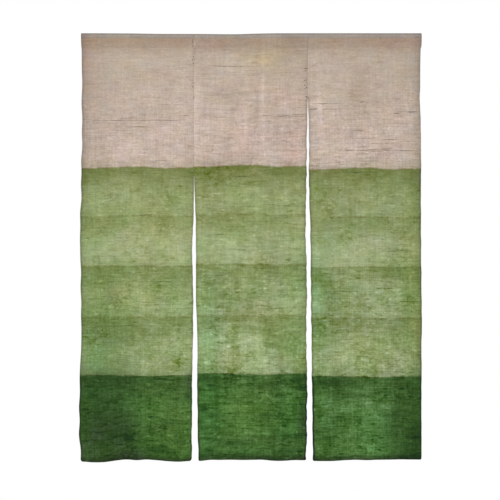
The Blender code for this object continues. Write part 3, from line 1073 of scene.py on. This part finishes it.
def front_back(sizes, depth):
    """Give how far back the middle of the front cloth is: zero below the pocket."""
    _, _, front, _ = pocket_lines(sizes, 0.0)
    return -np.clip(sizes.pocket - depth, 0.0, None) * math.tan(front)


def stitch_paths(sizes, number, across, depth, run, drop, lift, behind=0.0):
    """Lay stitches on a panel: each dives out of the cloth, lies on it and dives back in.

    across and depth are the stitches' middles, run and drop the way from end to end. behind is
    how far behind the middle of the front cloth they lie; they face the front where it is 0.
    """
    panel = sizes.width / len(PANELS)
    places = across[:, None] + run * STITCH_STEPS
    depths = depth[:, None] + drop * STITCH_STEPS
    surface = sizes.cloth / 2 + lift * STITCH_RISE
    if behind == 0.0:
        back = front_back(sizes, depths) - surface
        inward = np.minimum(places, panel - places)
        back = back + puckers(sizes, places, depths) - hem_relief(sizes, inward, depths)
    else:
        back = behind + surface
    points = place(sizes, number, places / panel, back, depths)
    return points, np.stack(np.broadcast_arrays(places, depths), axis=-1)


def hem_threads(sizes, thread, number):
    """Gather the paths of a panel's stitches: pocket line, side hems, bottom hem, hems behind."""
    panel = sizes.width / len(PANELS)
    draw = np.random.default_rng(HEM_SEED + number)
    thick = thread.thick / 2
    on_pocket, on_side, on_bottom = UNEVEN_LINES
    found = []

    def spaced(row, start, end, pitch):
        places = np.arange(start + row[0], end - row[1], pitch)
        return places + draw.normal(0.0, pitch * UNEVEN_PITCH, len(places))

    def around(line, uneven, others):
        return line + draw.normal(0.0, uneven, len(others))

    def lay(across, depth, run, drop, lift=thick, behind=0.0):
        across, depth = np.broadcast_arrays(across, depth)
        found.append(stitch_paths(sizes, number, across, depth, run, drop, lift, behind))

    for behind, shift in ((0.0, 0.0), (2.0 * sizes.layer, 0.5)):
        places = spaced(POCKET_ROW, shift * thread.pocket_pitch, panel, thread.pocket_pitch)
        lay(places, around(sizes.pocket, on_pocket, places), thread.pocket_stitch, 0.0, behind=behind)
    hem_line = sizes.side_hem - SIDE_LINE
    for line in (hem_line, panel - hem_line):
        depths = spaced(SIDE_ROW, sizes.pocket, sizes.drop, thread.hem_pitch)
        lay(around(line, on_side, depths), depths, SLANT, thread.hem_stitch)
    places = spaced(BOTTOM_ROW, 0.0, panel, thread.hem_pitch)
    level = sizes.drop - sizes.bottom_hem + BOTTOM_LINE
    lay(places, around(level, on_bottom, places), thread.hem_stitch, SLANT)
    long, short = SLANT_BEHIND
    lifted = (thick * LIFT_BEHIND, PLACE_BEHIND * sizes.layer)
    for line, inner in ((sizes.side_hem, 1.0), (panel - sizes.side_hem, -1.0)):
        depths = spaced(SIDE_ROW_BEHIND, sizes.pocket, sizes.drop, thread.hem_pitch)
        lay(line + inner * LINE_BEHIND, depths, inner * long, short, *lifted)
    places = spaced(BOTTOM_ROW_BEHIND, 0.0, panel, thread.hem_pitch)
    lay(places, sizes.drop - sizes.bottom_hem - LINE_BEHIND, short, long, *lifted)
    return [np.concatenate(part) for part in zip(*found)]


def seam_threads(sizes, thread):
    """Gather the paths of the stitches that draw two panels together, edge to edge."""
    panel = sizes.width / len(PANELS)
    draw = np.random.default_rng(SEAM_SEED)
    found = []
    for seam in range(len(PANELS) - 1):
        first, last = sizes.rod_room + SEAM_ROW[0], sizes.seam_end - SEAM_ROW[1]
        depths = np.arange(first, last, thread.seam_pitch)
        depths = depths + draw.normal(0.0, SEAM_UNEVEN, len(depths))
        wide = np.repeat((SEAM_WIDE, TACK_WIDE), (len(depths), len(TACK)))
        depths = np.concatenate([depths, sizes.seam_end - MM * np.array(TACK)])
        level = depths[:, None] + SEAM_SLANT * SEAM_STEPS
        _, right = panel_edges(sizes, seam, level)
        left, _ = panel_edges(sizes, seam + 1, level)
        x = (right + left) / 2 + wide[:, None] * SEAM_STEPS
        y = front_back(sizes, level) - sizes.cloth / 2 - thread.thick / 2 * SEAM_RISE - SEAM_SUNK
        path = np.stack(np.broadcast_arrays(x, y, -level), axis=-1)
        flat_x = panel * (seam + 1) + 0.0 * level
        found.append((path, np.stack([flat_x, level], axis=-1)))
    return [np.concatenate(part) for part in zip(*found)]


def knot_paths(sizes):
    """Gather the paths of the dark knots and whip stitches in the seams."""
    found = []
    for seam, across, depth, wide, tall in SEAM_MARKS:
        level = depth + 0.0 * KNOT_STEPS
        _, right = panel_edges(sizes, seam, level)
        x = right + MM * (KNOT_SHIFT + across + wide * KNOT_STEPS)
        height = sizes.cloth / 2 + KNOT_HEIGHT * np.cos(math.pi * KNOT_STEPS * 1.2)
        path = np.stack([x, front_back(sizes, level) - height, -level], axis=-1)
        found.append((path, np.stack([x, level], axis=-1), MM * tall / 2 * KNOT_SWELL))
    return [np.array(part) for part in zip(*found)]


def slub_paths(sizes, number):
    """Gather the thick places of a panel's weft: long low ridges, thickest at their middle."""
    panel = sizes.width / len(PANELS)
    share = np.linspace(0.0, 1.0, 40)
    found = []
    for row, (owner, start, end, depth, thick) in enumerate(SLUBS):
        if owner != number:
            continue
        ends = panel / 2 + MM * np.array((start, end))
        low, high = np.clip(ends, SLUB_MARGIN, panel - SLUB_MARGIN)
        across = low + (high - low) * share
        level = depth + SLUB_DRIFT * waves(DRIFT_SEED + row, across, 0.0, *SLUB_DRIFT_WAVES)
        swell = SLUB_SWELL[0] + SLUB_SWELL[1] * waves(SWELL_SEED + row, across, 0.0, *SLUB_SWELL_WAVES)
        taper = np.clip(np.sin(math.pi * share) * SLUB_TAPER, 0.0, 1.0)
        radius = MM * thick / 2 * np.maximum(taper * np.clip(swell, *SLUB_RANGE), SLUB_LEAST)
        back = front_back(sizes, level) - sizes.cloth / 2 - SLUB_SUNK
        path = place(sizes, number, across / panel, back, level)
        found.append((path, np.stack([across, level], axis=-1), radius))
    return [np.array(part) for part in zip(*found)]


class Net:
    """Shorthand for wiring one node tree."""

    def __init__(self, tree):
        self.tree = tree

    def node(self, kind, sources=None, **settings):
        """Add a node with these settings and feed its inputs by name or number."""
        made = self.tree.nodes.new(kind)
        for name, value in settings.items():
            setattr(made, name, value)
        self.feed_all(made, sources or {})
        return made

    def feed_all(self, node, sources):
        """Feed a node's inputs by name or number."""
        for key, source in sources.items():
            self.feed(node.inputs[key], source)

    def group(self, tree, sources):
        """Place a shader group and feed its sockets by name."""
        return self.node("ShaderNodeGroup", sources, node_tree=tree).outputs

    def feed(self, socket, source):
        """Link a socket to another one, or set its value."""
        if isinstance(source, bpy.types.NodeSocket):
            self.tree.links.new(source, socket)
        elif source is not None:
            socket.default_value = source

    def math(self, operation, *sources, clamp=False):
        """Add a Math node."""
        inputs = dict(enumerate(sources))
        return self.node("ShaderNodeMath", inputs, operation=operation, use_clamp=clamp).outputs[0]

    def vector(self, operation, inputs):
        """Add a Vector Math node."""
        return self.node("ShaderNodeVectorMath", inputs, operation=operation).outputs[0]

    def times(self, one, other, clamp=False):
        """Multiply two values."""
        return self.math("MULTIPLY", one, other, clamp=clamp)

    def line(self, value, slope, start):
        """Multiply a value by a slope and add a start."""
        return self.math("MULTIPLY_ADD", value, slope, start)

    def total(self, first, *others):
        """Add several values."""
        for other in others:
            first = self.math("ADD", first, other)
        return first

    def weighted(self, first, *others):
        """Add up values, each given with its weight."""
        found = self.times(*first)
        for value, weight in others:
            found = self.line(value, weight, found)
        return found

    def step(self, value, low, high, start=0.0, end=1.0, smooth=True):
        """Add a Map Range node: start below low, end above high."""
        inputs = {"Value": value, "From Min": low, "From Max": high, "To Min": start, "To Max": end}
        kind = "SMOOTHSTEP" if smooth else "LINEAR"
        return self.node("ShaderNodeMapRange", inputs, interpolation_type=kind).outputs["Result"]

    def shaded(self, colour, amount, grey):
        """Add an amount of a colour to itself, part of it as plain grey of the same lightness.

        The grey share keeps dark places rich and light places dusty, as dyed yarn is.
        """
        lightness = self.node("ShaderNodeRGBToBW", {0: colour}).outputs[0]
        added = {0: self.mix(grey, colour, lightness), 1: amount, 2: colour}
        return self.vector("MAXIMUM", {0: self.vector("MULTIPLY_ADD", added), 1: DARKEST})

    def mix(self, share, one, other, blend="MIX"):
        """Add a colour Mix node."""
        inputs = {0: share, 6: one, 7: other}
        return self.node("ShaderNodeMix", inputs, data_type="RGBA", blend_type=blend).outputs[2]

    def filtered(self, colour, tint):
        """Multiply a colour by a tint, which is three numbers or another colour."""
        if isinstance(tint, tuple):
            tint = (*tint, 1.0)
        return self.mix(1.0, colour, tint, "MULTIPLY")

    def dipped(self, colour, share, tint):
        """Multiply a share of a colour by a tint."""
        return self.mix(share, colour, self.filtered(colour, tint))

    def stretched(self, source, scale, shift):
        """Scale a vector by axis and move it."""
        inputs = {"Vector": source, "Scale": scale, "Location": shift}
        return self.node("ShaderNodeMapping", inputs).outputs[0]

    def noise(self, source, scale, start=(0.0, 0.0), detail=2.0, roughness=0.5):
        """Add a Noise node with its own scale across and down the cloth, and its own start."""
        vector = self.stretched(source, (*scale, 1.0), (*start, 0.0))
        inputs = {"Vector": vector, "Scale": 1.0, "Detail": detail, "Roughness": roughness}
        return self.node("ShaderNodeTexNoise", inputs, noise_dimensions="3D").outputs["Fac"]

    def swing(self, source, scale, start=(0.0, 0.0), detail=2.0, roughness=0.5):
        """Add a Noise node and centre it on 0, about -1 to 1."""
        return self.line(self.noise(source, scale, start, detail, roughness), 2.6, -1.3)

    def parts(self, source):
        """Split a vector."""
        return self.node("ShaderNodeSeparateXYZ", {0: source}).outputs

    def emboss(self, shader, height, strength, distance):
        """Give a shader a relief."""
        inputs = {"Strength": strength, "Distance": distance, "Height": height}
        self.feed(shader.inputs["Normal"], self.node("ShaderNodeBump", inputs).outputs[0])


def new_group(name, inputs, outputs):
    """Start a shader group with named sockets and give its net, its inputs and its last node."""
    tree = bpy.data.node_groups.new(name, "ShaderNodeTree")
    for label, kind, default in inputs:
        socket = tree.interface.new_socket(label, in_out="INPUT", socket_type=kind)
        if default is not None:
            socket.default_value = default
    for label, kind in outputs:
        tree.interface.new_socket(label, in_out="OUTPUT", socket_type=kind)
    net = Net(tree)
    start = net.node("NodeGroupInput")
    return net, start.outputs, net.node("NodeGroupOutput")


FLOAT = "NodeSocketFloat"
VECTOR = "NodeSocketVector"
COLOR = "NodeSocketColor"


def weave_group():
    """Plain weave: each yarn is a half sine across, and rises and dips along its length.

    Warp yarn i is over weft yarn j where i + j is even. The height is the higher of the two
    yarns, and the gap is dark where both are low.
    """
    net, given, out = new_group(
        "Plain weave",
        (("Flat", VECTOR, None), ("Pitch", FLOAT, 0.0008)),
        (("Height", FLOAT), ("Shade", FLOAT)),
    )
    loose = net.swing(given["Flat"], (60.0, 420.0), detail=1.0)
    slack = net.swing(given["Flat"], (420.0, 60.0), (5.0, 2.0), detail=1.0)
    x, y, _ = net.parts(given["Flat"])
    warp = net.line(slack, 0.22, net.math("DIVIDE", x, given["Pitch"]))
    weft = net.line(loose, 0.22, net.math("DIVIDE", y, given["Pitch"]))
    heights = []
    for one, other, sign in ((warp, weft, 0.5), (weft, warp, -0.5)):
        round_yarn = net.math("ABSOLUTE", net.math("SINE", net.times(one, math.pi)))
        count = net.math("FLOOR", one)
        along = net.total(other, count, -0.5)
        over = net.line(net.math("COSINE", net.times(along, math.pi)), sign, 0.5)
        heights.append((round_yarn, net.times(round_yarn, over)))
    height = net.math("MAXIMUM", heights[0][1], heights[1][1])
    open_gap = net.math("MAXIMUM", heights[0][0], heights[1][0])
    shade = net.step(open_gap, 0.30, 0.85, 0.62, 1.0)
    shade = net.times(shade, net.step(height, 0.0, 0.9, 0.90, 1.06, False))
    net.feed_all(out, {"Height": height, "Shade": shade})
    return net.tree


def yarn_group():
    """Uneven hand-spun yarn: level streaks, weaker upright ones, and sparse dark slubs."""
    net, given, out = new_group(
        "Hand-spun yarn",
        (("Flat", VECTOR, None), ("Slub Share", FLOAT, 0.5)),
        (("Streak", FLOAT), ("Slub", FLOAT), ("Height", FLOAT)),
    )
    flat = given["Flat"]
    level = net.swing(flat, (22.0, 290.0), roughness=0.6)
    broad = net.swing(flat, (30.0, 110.0), (3.0, 9.0))
    upright = net.swing(flat, (260.0, 16.0), (8.0, 1.0))
    spots = net.swing(flat, (150.0, 210.0), (1.0, 4.0))
    streak = net.weighted((level, 0.60), (broad, 0.34), (upright, 0.36), (spots, 0.55))
    cluster = net.noise(flat, (5.0, 11.0), (7.0, 3.0), detail=1.0)
    line = net.noise(flat, (15.0, 330.0), (2.0, 6.0), detail=1.0)
    limit = net.step(cluster, 0.38, 0.68, 0.77, 0.61)
    limit = net.math("SUBTRACT", limit, net.line(given["Slub Share"], 0.06, -0.03))
    slub = net.math("DIVIDE", net.math("SUBTRACT", line, limit), 0.04, clamp=True)
    height = net.total(net.times(level, 0.3), slub)
    net.feed_all(out, {"Streak": streak, "Slub": slub, "Height": height})
    return net.tree


def wash_group():
    """Uneven washing and dyeing: broad clouds, blotches and a few pale rubbed places."""
    net, given, out = new_group(
        "Washed clouds",
        (("Flat", VECTOR, None),),
        [(name, FLOAT) for name in WASHES],
    )
    flat = given["Flat"]
    made = {}
    broad = net.swing(flat, (9.0, 11.0))
    close = net.swing(flat, (34.0, 46.0), (4.0, 4.0), detail=3.0, roughness=0.55)
    rubbed = net.noise(flat, (70.0, 110.0), (6.0, 1.0), detail=3.0, roughness=0.6)
    streaky = net.swing(flat, (42.0, 5.0), (2.0, 2.0))
    made["Cloud"] = net.weighted((broad, 0.6), (close, 0.55), (streaky, 0.35))
    made["Blotch"] = net.step(rubbed, 0.56, 0.78)
    made["Drift"] = net.swing(flat, (4.5, 6.0), (1.0, 7.0), detail=1.0)
    smudge = net.noise(flat, (30.0, 115.0), (3.0, 5.0), detail=3.0, roughness=0.6)
    made["Smudge"] = net.step(smudge, 0.58, 0.80)
    stroke = net.noise(flat, (24.0, 125.0), (6.0, 2.0))
    made["Stroke"] = net.step(stroke, 0.57, 0.70)
    made["Mottle"] = net.swing(flat, (95.0, 120.0), (2.0, 5.0))
    bent = net.swing(flat, (38.0, 60.0), (7.0, 7.0))
    line = net.step(net.math("ABSOLUTE", bent), 0.0, 0.16, 1.0, 0.0)
    where = net.noise(flat, (13.0, 15.0), (5.0, 9.0), detail=1.0)
    made["Wrinkle"] = net.times(line, net.step(where, 0.50, 0.66))
    for name, scale, start in (
        ("Warm", (26.0, 32.0), (9.0, 2.0)),
        ("Blush", (19.0, 22.0), (2.0, 8.0)),
        ("Patch", (12.0, 16.0), (4.0, 3.0)),
    ):
        broad = net.noise(flat, scale, start, 0.8, 0.45)
        made[name] = net.step(broad, 0.28, 0.72, 0.0, 1.0, False)
    net.feed_all(out, made)
    return net.tree


def dye_group(dye):
    """Level dip dye: under each dye line the cloth is dark, and fades until the next one.

    The dye creeps by a few millimetres, more along some yarns than others, and leaves a faint
    stain above its line.
    """
    bands = range(len(DYE_BANDS))
    inputs = [
        ("Flat", VECTOR, None),
        ("Shift", FLOAT, 0.0),
        ("Creep", FLOAT, 0.006),
        ("Softness", FLOAT, 0.003),
        ("Undyed Top", COLOR, None),
        ("Undyed Low", COLOR, None),
    ]
    for band in bands:
        inputs.append((f"Level {band}", FLOAT, getattr(dye, f"level_{band}")))
        inputs.append((f"Line {band}", COLOR, None))
        inputs.append((f"Body {band}", COLOR, None))
    net, given, out = new_group("Dip dye", inputs, (("Color", COLOR), ("Strength", FLOAT)))
    flat = given["Flat"]
    _, down, _ = net.parts(flat)
    slow = net.swing(flat, (8.0, 1.5), (1.0, 1.0))
    quick = net.swing(flat, (95.0, 30.0), detail=3.0, roughness=0.65)
    creep = net.weighted((slow, 0.72), (quick, 0.28))
    reach = net.line(creep, given["Creep"], net.total(down, given["Shift"]))
    found = net.mix(net.step(down, 0.04, 0.30), given["Undyed Top"], given["Undyed Low"])
    strength = 0.0
    tide = 0.0
    for band in bands:
        level = given[f"Level {band}"]
        low = net.math("SUBTRACT", level, given["Softness"])
        high = net.total(level, given["Softness"])
        edge = net.step(reach, low, high)
        stain = net.step(reach, net.math("SUBTRACT", level, 0.030), level, 0.0, 0.20)
        fade = net.step(reach, level, net.total(level, 0.085))
        body = net.mix(fade, given[f"Line {band}"], given[f"Body {band}"])
        found = net.mix(net.math("MAXIMUM", edge, stain), found, body)
        strength = net.total(strength, edge)
        past = net.math("SUBTRACT", reach, net.total(level, 0.001))
        tide = net.math("MAXIMUM", tide, net.step(net.math("ABSOLUTE", past), 0.0, 0.0045, 1.0, 0.0))
    broken = net.noise(flat, (40.0, 8.0), (4.0, 0.0))
    found = net.dipped(found, net.times(tide, net.step(broken, 0.35, 0.62)), TIDE_TINT)
    strength = net.math("DIVIDE", strength, float(len(DYE_BANDS)))
    net.feed_all(out, {"Color": found, "Strength": strength})
    return net.tree


def dyed(net, groups, dye, flat, shift):
    """Place the dip dye in a material with the panel's own level."""
    sources = {
        "Flat": flat,
        "Shift": shift,
        "Creep": dye.creep,
        "Softness": dye.soft,
        "Undyed Top": (*dye.undyed_top, 1.0),
        "Undyed Low": (*dye.undyed_low, 1.0),
    }
    for band in range(len(DYE_BANDS)):
        sources[f"Level {band}"] = getattr(dye, f"level_{band}")
        sources[f"Line {band}"] = (*getattr(dye, f"top_{band}"), 1.0)
        sources[f"Body {band}"] = (*getattr(dye, f"low_{band}"), 1.0)
    return net.group(groups["dye"], sources)


def flat_vector(net, name=FLAT_MAP):
    """Read a UV map as a vector in metres."""
    return net.node("ShaderNodeUVMap", uv_map=name).outputs[0]


def mask(net, name):
    """Read one of the cloth's own masks."""
    return net.node("ShaderNodeAttribute", attribute_name=name).outputs["Fac"]


def new_material(name):
    """Start a material and give it, its net and its shader."""
    material = bpy.data.materials.new(name)
    material.use_nodes = True
    shader = material.node_tree.nodes["Principled BSDF"]
    return material, Net(material.node_tree), shader


def cloth_material(groups, dye, number):
    """Dyed hemp: dye, uneven yarn, clouds, painted shade on two-layer hems, painted light and shade at
    the edges, and the weave's relief.
    """
    material, net, shader = new_material(f"dyed_hemp_{PANELS[number]}")
    flat = flat_vector(net)
    own = net.stretched(flat, (1.0, 1.0, 1.0), (0.7 * number + 0.3, 1.9 * number, 0.4 * number))
    colours = dyed(net, groups, dye, flat, DYE_SHIFTS[number])
    strength = colours["Strength"]
    weave = net.group(groups["weave"], {"Flat": own, "Pitch": WEAVE_PITCH})
    yarn = net.group(groups["yarn"], {"Flat": own, "Slub Share": 0.5})
    wash = net.group(groups["wash"], {"Flat": own})
    _, down, _ = net.parts(flat)
    fine, broad = (
        net.total(
            net.step(down, *BARE_FADE, *bare),
            *(net.step(strength, start, start + 0.2, 0.0, more) for start, more in dyes),
        )
        for bare, dyes in UNEVENNESS
    )
    thin = net.times(yarn["Streak"], net.step(strength, 0.0, 0.2, 0.30, 0.25))
    slub = net.times(net.step(down, 0.06, 0.24, -0.13, -0.27), yarn["Slub"])
    slub = net.times(slub, net.step(strength, 0.0, 0.2, 1.0, 0.25))
    wide = net.weighted(*((wash[name], weight) for name, weight in WIDE_WEIGHTS))
    # Painted shade darkens the fine wrinkle lines, which the relief below also sinks
    wide = net.line(wash["Wrinkle"], net.step(strength, 0.0, 0.2, -0.03, -0.10), wide)
    drift = net.times(wash["Drift"], net.step(strength, 0.6, 1.0, 0.05, 0.32))
    wide = net.line(wide, broad, drift)
    wide = net.line(wash["Stroke"], net.step(strength, 0.8, 1.0, 0.0, -0.34), wide)
    wide = net.math("MAXIMUM", wide, -0.70)
    grey = net.step(strength, 0.8, 1.0, 0.65, 0.26)
    found = net.shaded(colours["Color"], wide, grey)
    tone = net.times(net.total(thin, slub), fine)
    tone = net.math("MAXIMUM", tone, -0.75)
    found = net.shaded(found, tone, 0.33)
    for name, swing in (("Warm", WARM_SWING), ("Blush", BLUSH_SWING)):
        found = net.filtered(found, net.mix(wash[name], *swing))
    patch = net.mix(wash["Patch"], *PATCH_SWING)
    found = net.dipped(found, net.step(strength, 0.0, 0.2, 0.0, 0.8), patch)
    uneven = net.line(wash["Cloud"], 0.70, 1.0)
    # Some stain masks carry a painted hem shadow, painted fold highlights and painted plain shade
    for name, tint in STAIN_TINTS.items():
        found = net.dipped(found, net.times(mask(net, name), uneven, clamp=True), tint)
    # The tint of the two-layer cloth is painted shade
    for name, tint in SEWING_TINTS.items():
        found = net.dipped(found, mask(net, name), tint)
    # Painted shade and painted light from the sewing masks darken and lighten the colour, a little
    # unevenly
    patchy = net.line(wash["Cloud"], 0.45, 1.0)
    painted_shading = net.times(mask(net, "painted_shading"), patchy)
    painted_shading = net.math("MAXIMUM", net.math("SUBTRACT", 1.0, painted_shading), 0.0)
    found = net.vector("SCALE", {0: found, "Scale": net.times(painted_shading, weave["Shade"])})
    finish = {"Base Color": found, "Roughness": net.line(yarn["Streak"], 0.04, 0.90)}
    net.feed_all(shader, {**finish, **CLOTH_FINISH})
    relief = net.line(yarn["Height"], 0.5, weave["Height"])
    relief = net.line(wash["Wrinkle"], -0.8, relief)
    net.emboss(shader, relief, 0.8, 0.00025)
    return material


def thread_material(name, groups, dye, shift, darker, plain=None):
    """Twisted hemp thread, dyed with the cloth or left in one colour."""
    material, net, shader = new_material(name)
    found = plain
    if plain is None:
        found = dyed(net, groups, dye, flat_vector(net), shift)["Color"]
    around, along, _ = net.parts(flat_vector(net, TWIST_MAP))
    turn = net.line(along, TWIST_TURNS, around)
    ply = net.math("SINE", net.times(turn, 2.0 * math.pi))
    fibre = net.swing(flat_vector(net), (900.0, 900.0))
    tone = net.line(ply, 0.08, darker)
    tone = net.line(fibre, 0.07, tone)
    finish = {"Base Color": net.vector("SCALE", {0: found, "Scale": tone})}
    finish["Roughness"] = net.line(fibre, 0.05, 0.80)
    net.feed_all(shader, {**finish, **THREAD_FINISH})
    net.emboss(shader, ply, 0.7, 0.00012)
    return material


def shared_groups(dye):
    """Build the shader groups once, and find them again afterwards."""
    found = {}
    makers = (
        ("Plain weave", "weave", weave_group),
        ("Hand-spun yarn", "yarn", yarn_group),
        ("Washed clouds", "wash", wash_group),
        ("Dip dye", "dye", lambda: dye_group(dye)),
    )
    for label, short, make in makers:
        found[short] = bpy.data.node_groups.get(label) or make()
    return found


class NOREN_OT_threads(bpy.types.Operator):
    """Sew the hems, the pocket and the seams, and lay the yarn's thick places on the cloth."""

    bl_idname = "noren.threads"
    bl_label = "Sew Threads"

    def execute(self, context):
        sizes = context.scene.noren_cloth
        thread = context.scene.noren_thread
        dye = context.scene.noren_dye
        groups = shared_groups(dye)

        def sew(name, finish, threads, shift, tone, squash=1.0, plain=None):
            mesh = tubes(name, *threads, squash)
            put_in_scene(name, mesh, thread_material(finish, groups, dye, shift, tone, plain))

        radius = thread.thick / 2
        for number, (side, shift) in enumerate(zip(PANELS, DYE_SHIFTS)):
            name = f"hem_thread_{side}"
            sew(name, name, (*hem_threads(sizes, thread, number), radius), shift, HEM_TONE)
            sew(f"slubs_{side}", f"slub_yarn_{side}", slub_paths(sizes, number), shift, SLUB_TONE, 0.4)
        sew("seam_thread", "seam_thread", (*seam_threads(sizes, thread), radius), 0.0, SEAM_TONE)
        plain = tuple(thread.knot_colour)
        sew("seam_knots", "seam_knots", knot_paths(sizes), 0.0, 1.0, 0.5, plain)
        return {"FINISHED"}


class NOREN_OT_cloth(bpy.types.Operator):
    """Hang the three panels of dyed hemp with their hems and rod pocket folded."""

    bl_idname = "noren.cloth"
    bl_label = "Hang Cloth"

    def execute(self, context):
        sizes = context.scene.noren_cloth
        dye = context.scene.noren_dye
        groups = shared_groups(dye)
        for number, side in enumerate(PANELS):
            points, flat, masks = panel_grid(sizes, number)
            columns, rows = points.shape[:2]
            mesh = new_mesh(f"cloth_{side}", points, grid_quads(columns, rows))
            store_flat(mesh, FLAT_MAP, flat)
            for name, values in masks.items():
                store_mask(mesh, name, values)
            piece = put_in_scene(f"cloth_{side}", mesh, cloth_material(groups, dye, number))
            solid = piece.modifiers.new("thickness", "SOLIDIFY")
            solid.thickness = sizes.cloth
            solid.offset = 0.0
            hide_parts(NODES[number])
        return {"FINISHED"}


class NOREN_OT_stage(bpy.types.Operator):
    """Set the camera straight on, a pale floor and soft lights."""

    bl_idname = "noren.stage"
    bl_label = "Set Stage"

    def execute(self, context):
        stage = context.scene.noren_stage
        scene = context.scene
        camera = bpy.data.cameras.new("front_camera")
        camera.sensor_width = 36.0
        camera.lens = camera.sensor_width * stage.distance / stage.view_width
        camera.clip_end = 50.0
        eye = linked("front_camera", camera)
        eye.location = (stage.view_x, -stage.distance, stage.view_z)
        eye.rotation_euler = (math.pi / 2, 0.0, 0.0)
        scene.camera = eye
        self.add_floor(stage)
        self.add_lights(scene, stage)
        return {"FINISHED"}

    def add_floor(self, stage):
        """Lay a plain pale floor, well below the hem."""
        corners = np.array([[-1, -1, 0], [1, -1, 0], [1, 1, 0], [-1, 1, 0]], dtype=float) * FLOOR_REACH
        corners[:, 2] = -stage.floor_depth
        mesh = bpy.data.meshes.new("floor")
        mesh.from_pydata(corners, [], [(0, 1, 2, 3)])
        floor = linked("floor", mesh)
        material, net, shader = new_material("floor_paint")
        net.feed_all(shader, {"Base Color": FLOOR_PAINT, "Roughness": 0.9})
        mesh.materials.append(material)

    def add_lights(self, scene, stage):
        """Add even white light all round, seen as plain white, and one soft key light."""
        world = bpy.data.worlds.new("studio")
        world.use_nodes = True
        net = Net(world.node_tree)
        background = world.node_tree.nodes["Background"]
        background.inputs["Color"].default_value = (1.0, 1.0, 1.0, 1.0)
        seen = net.node("ShaderNodeLightPath").outputs["Is Camera Ray"]
        net.feed(background.inputs["Strength"], net.step(seen, 0.0, 1.0, stage.sky, 1.0))
        scene.world = world
        scene.view_settings.view_transform = "Standard"
        lamp = bpy.data.lights.new("key", "AREA")
        lamp.size = KEY_SIZE
        lamp.energy = stage.key
        key = linked("key", lamp)
        key.location = KEY_PLACE
        key.visible_camera = False
        aim = np.array(KEY_AIM) - np.array(key.location)
        key.rotation_euler = (
            math.atan2(math.hypot(aim[0], aim[1]), -aim[2]),
            0.0,
            math.atan2(-aim[0], aim[1]),
        )


class NOREN_PT_panel(bpy.types.Panel):
    """Lists the noren's sizes, colours and steps."""

    bl_idname = "NOREN_PT_panel"
    bl_label = "Noren Curtain"
    bl_space_type = "VIEW_3D"
    bl_region_type = "UI"
    bl_category = "Noren"

    def draw(self, context):
        for name, label in SETTINGS:
            box = self.layout.box()
            box.label(text=label)
            settings = getattr(context.scene, name)
            for key in type(settings).__annotations__:
                box.prop(settings, key)
        for operator in OPERATORS:
            self.layout.operator(operator.bl_idname)


SETTINGS = (
    ("noren_cloth", "Cloth"),
    ("noren_dye", "Dye"),
    ("noren_thread", "Thread"),
    ("noren_stage", "Stage"),
)
GROUPS = (NorenCloth, NorenDye, NorenThread, NorenStage)
OPERATORS = (NOREN_OT_threads, NOREN_OT_cloth, NOREN_OT_stage)


def register():
    """Register the classes and put the settings on the scene."""
    for kind in (*GROUPS, *OPERATORS, NOREN_PT_panel):
        bpy.utils.register_class(kind)
    for (name, _), group in zip(SETTINGS, GROUPS):
        setattr(bpy.types.Scene, name, bpy.props.PointerProperty(type=group))


def unregister():
    """Take the settings off the scene and unregister the classes."""
    for name, _ in SETTINGS:
        delattr(bpy.types.Scene, name)
    for kind in (NOREN_PT_panel, *reversed(OPERATORS), *reversed(GROUPS)):
        bpy.utils.unregister_class(kind)


def main():
    """Register the add-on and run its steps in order."""
    register()
    for name in ("Cube", "Light", "Camera"):
        left_over = bpy.data.objects.get(name)
        if left_over is not None:
            bpy.data.objects.remove(left_over, do_unlink=True)
    bpy.ops.noren.threads()
    bpy.ops.noren.cloth()
    bpy.ops.noren.stage()


if __name__ == "__main__":
    main()
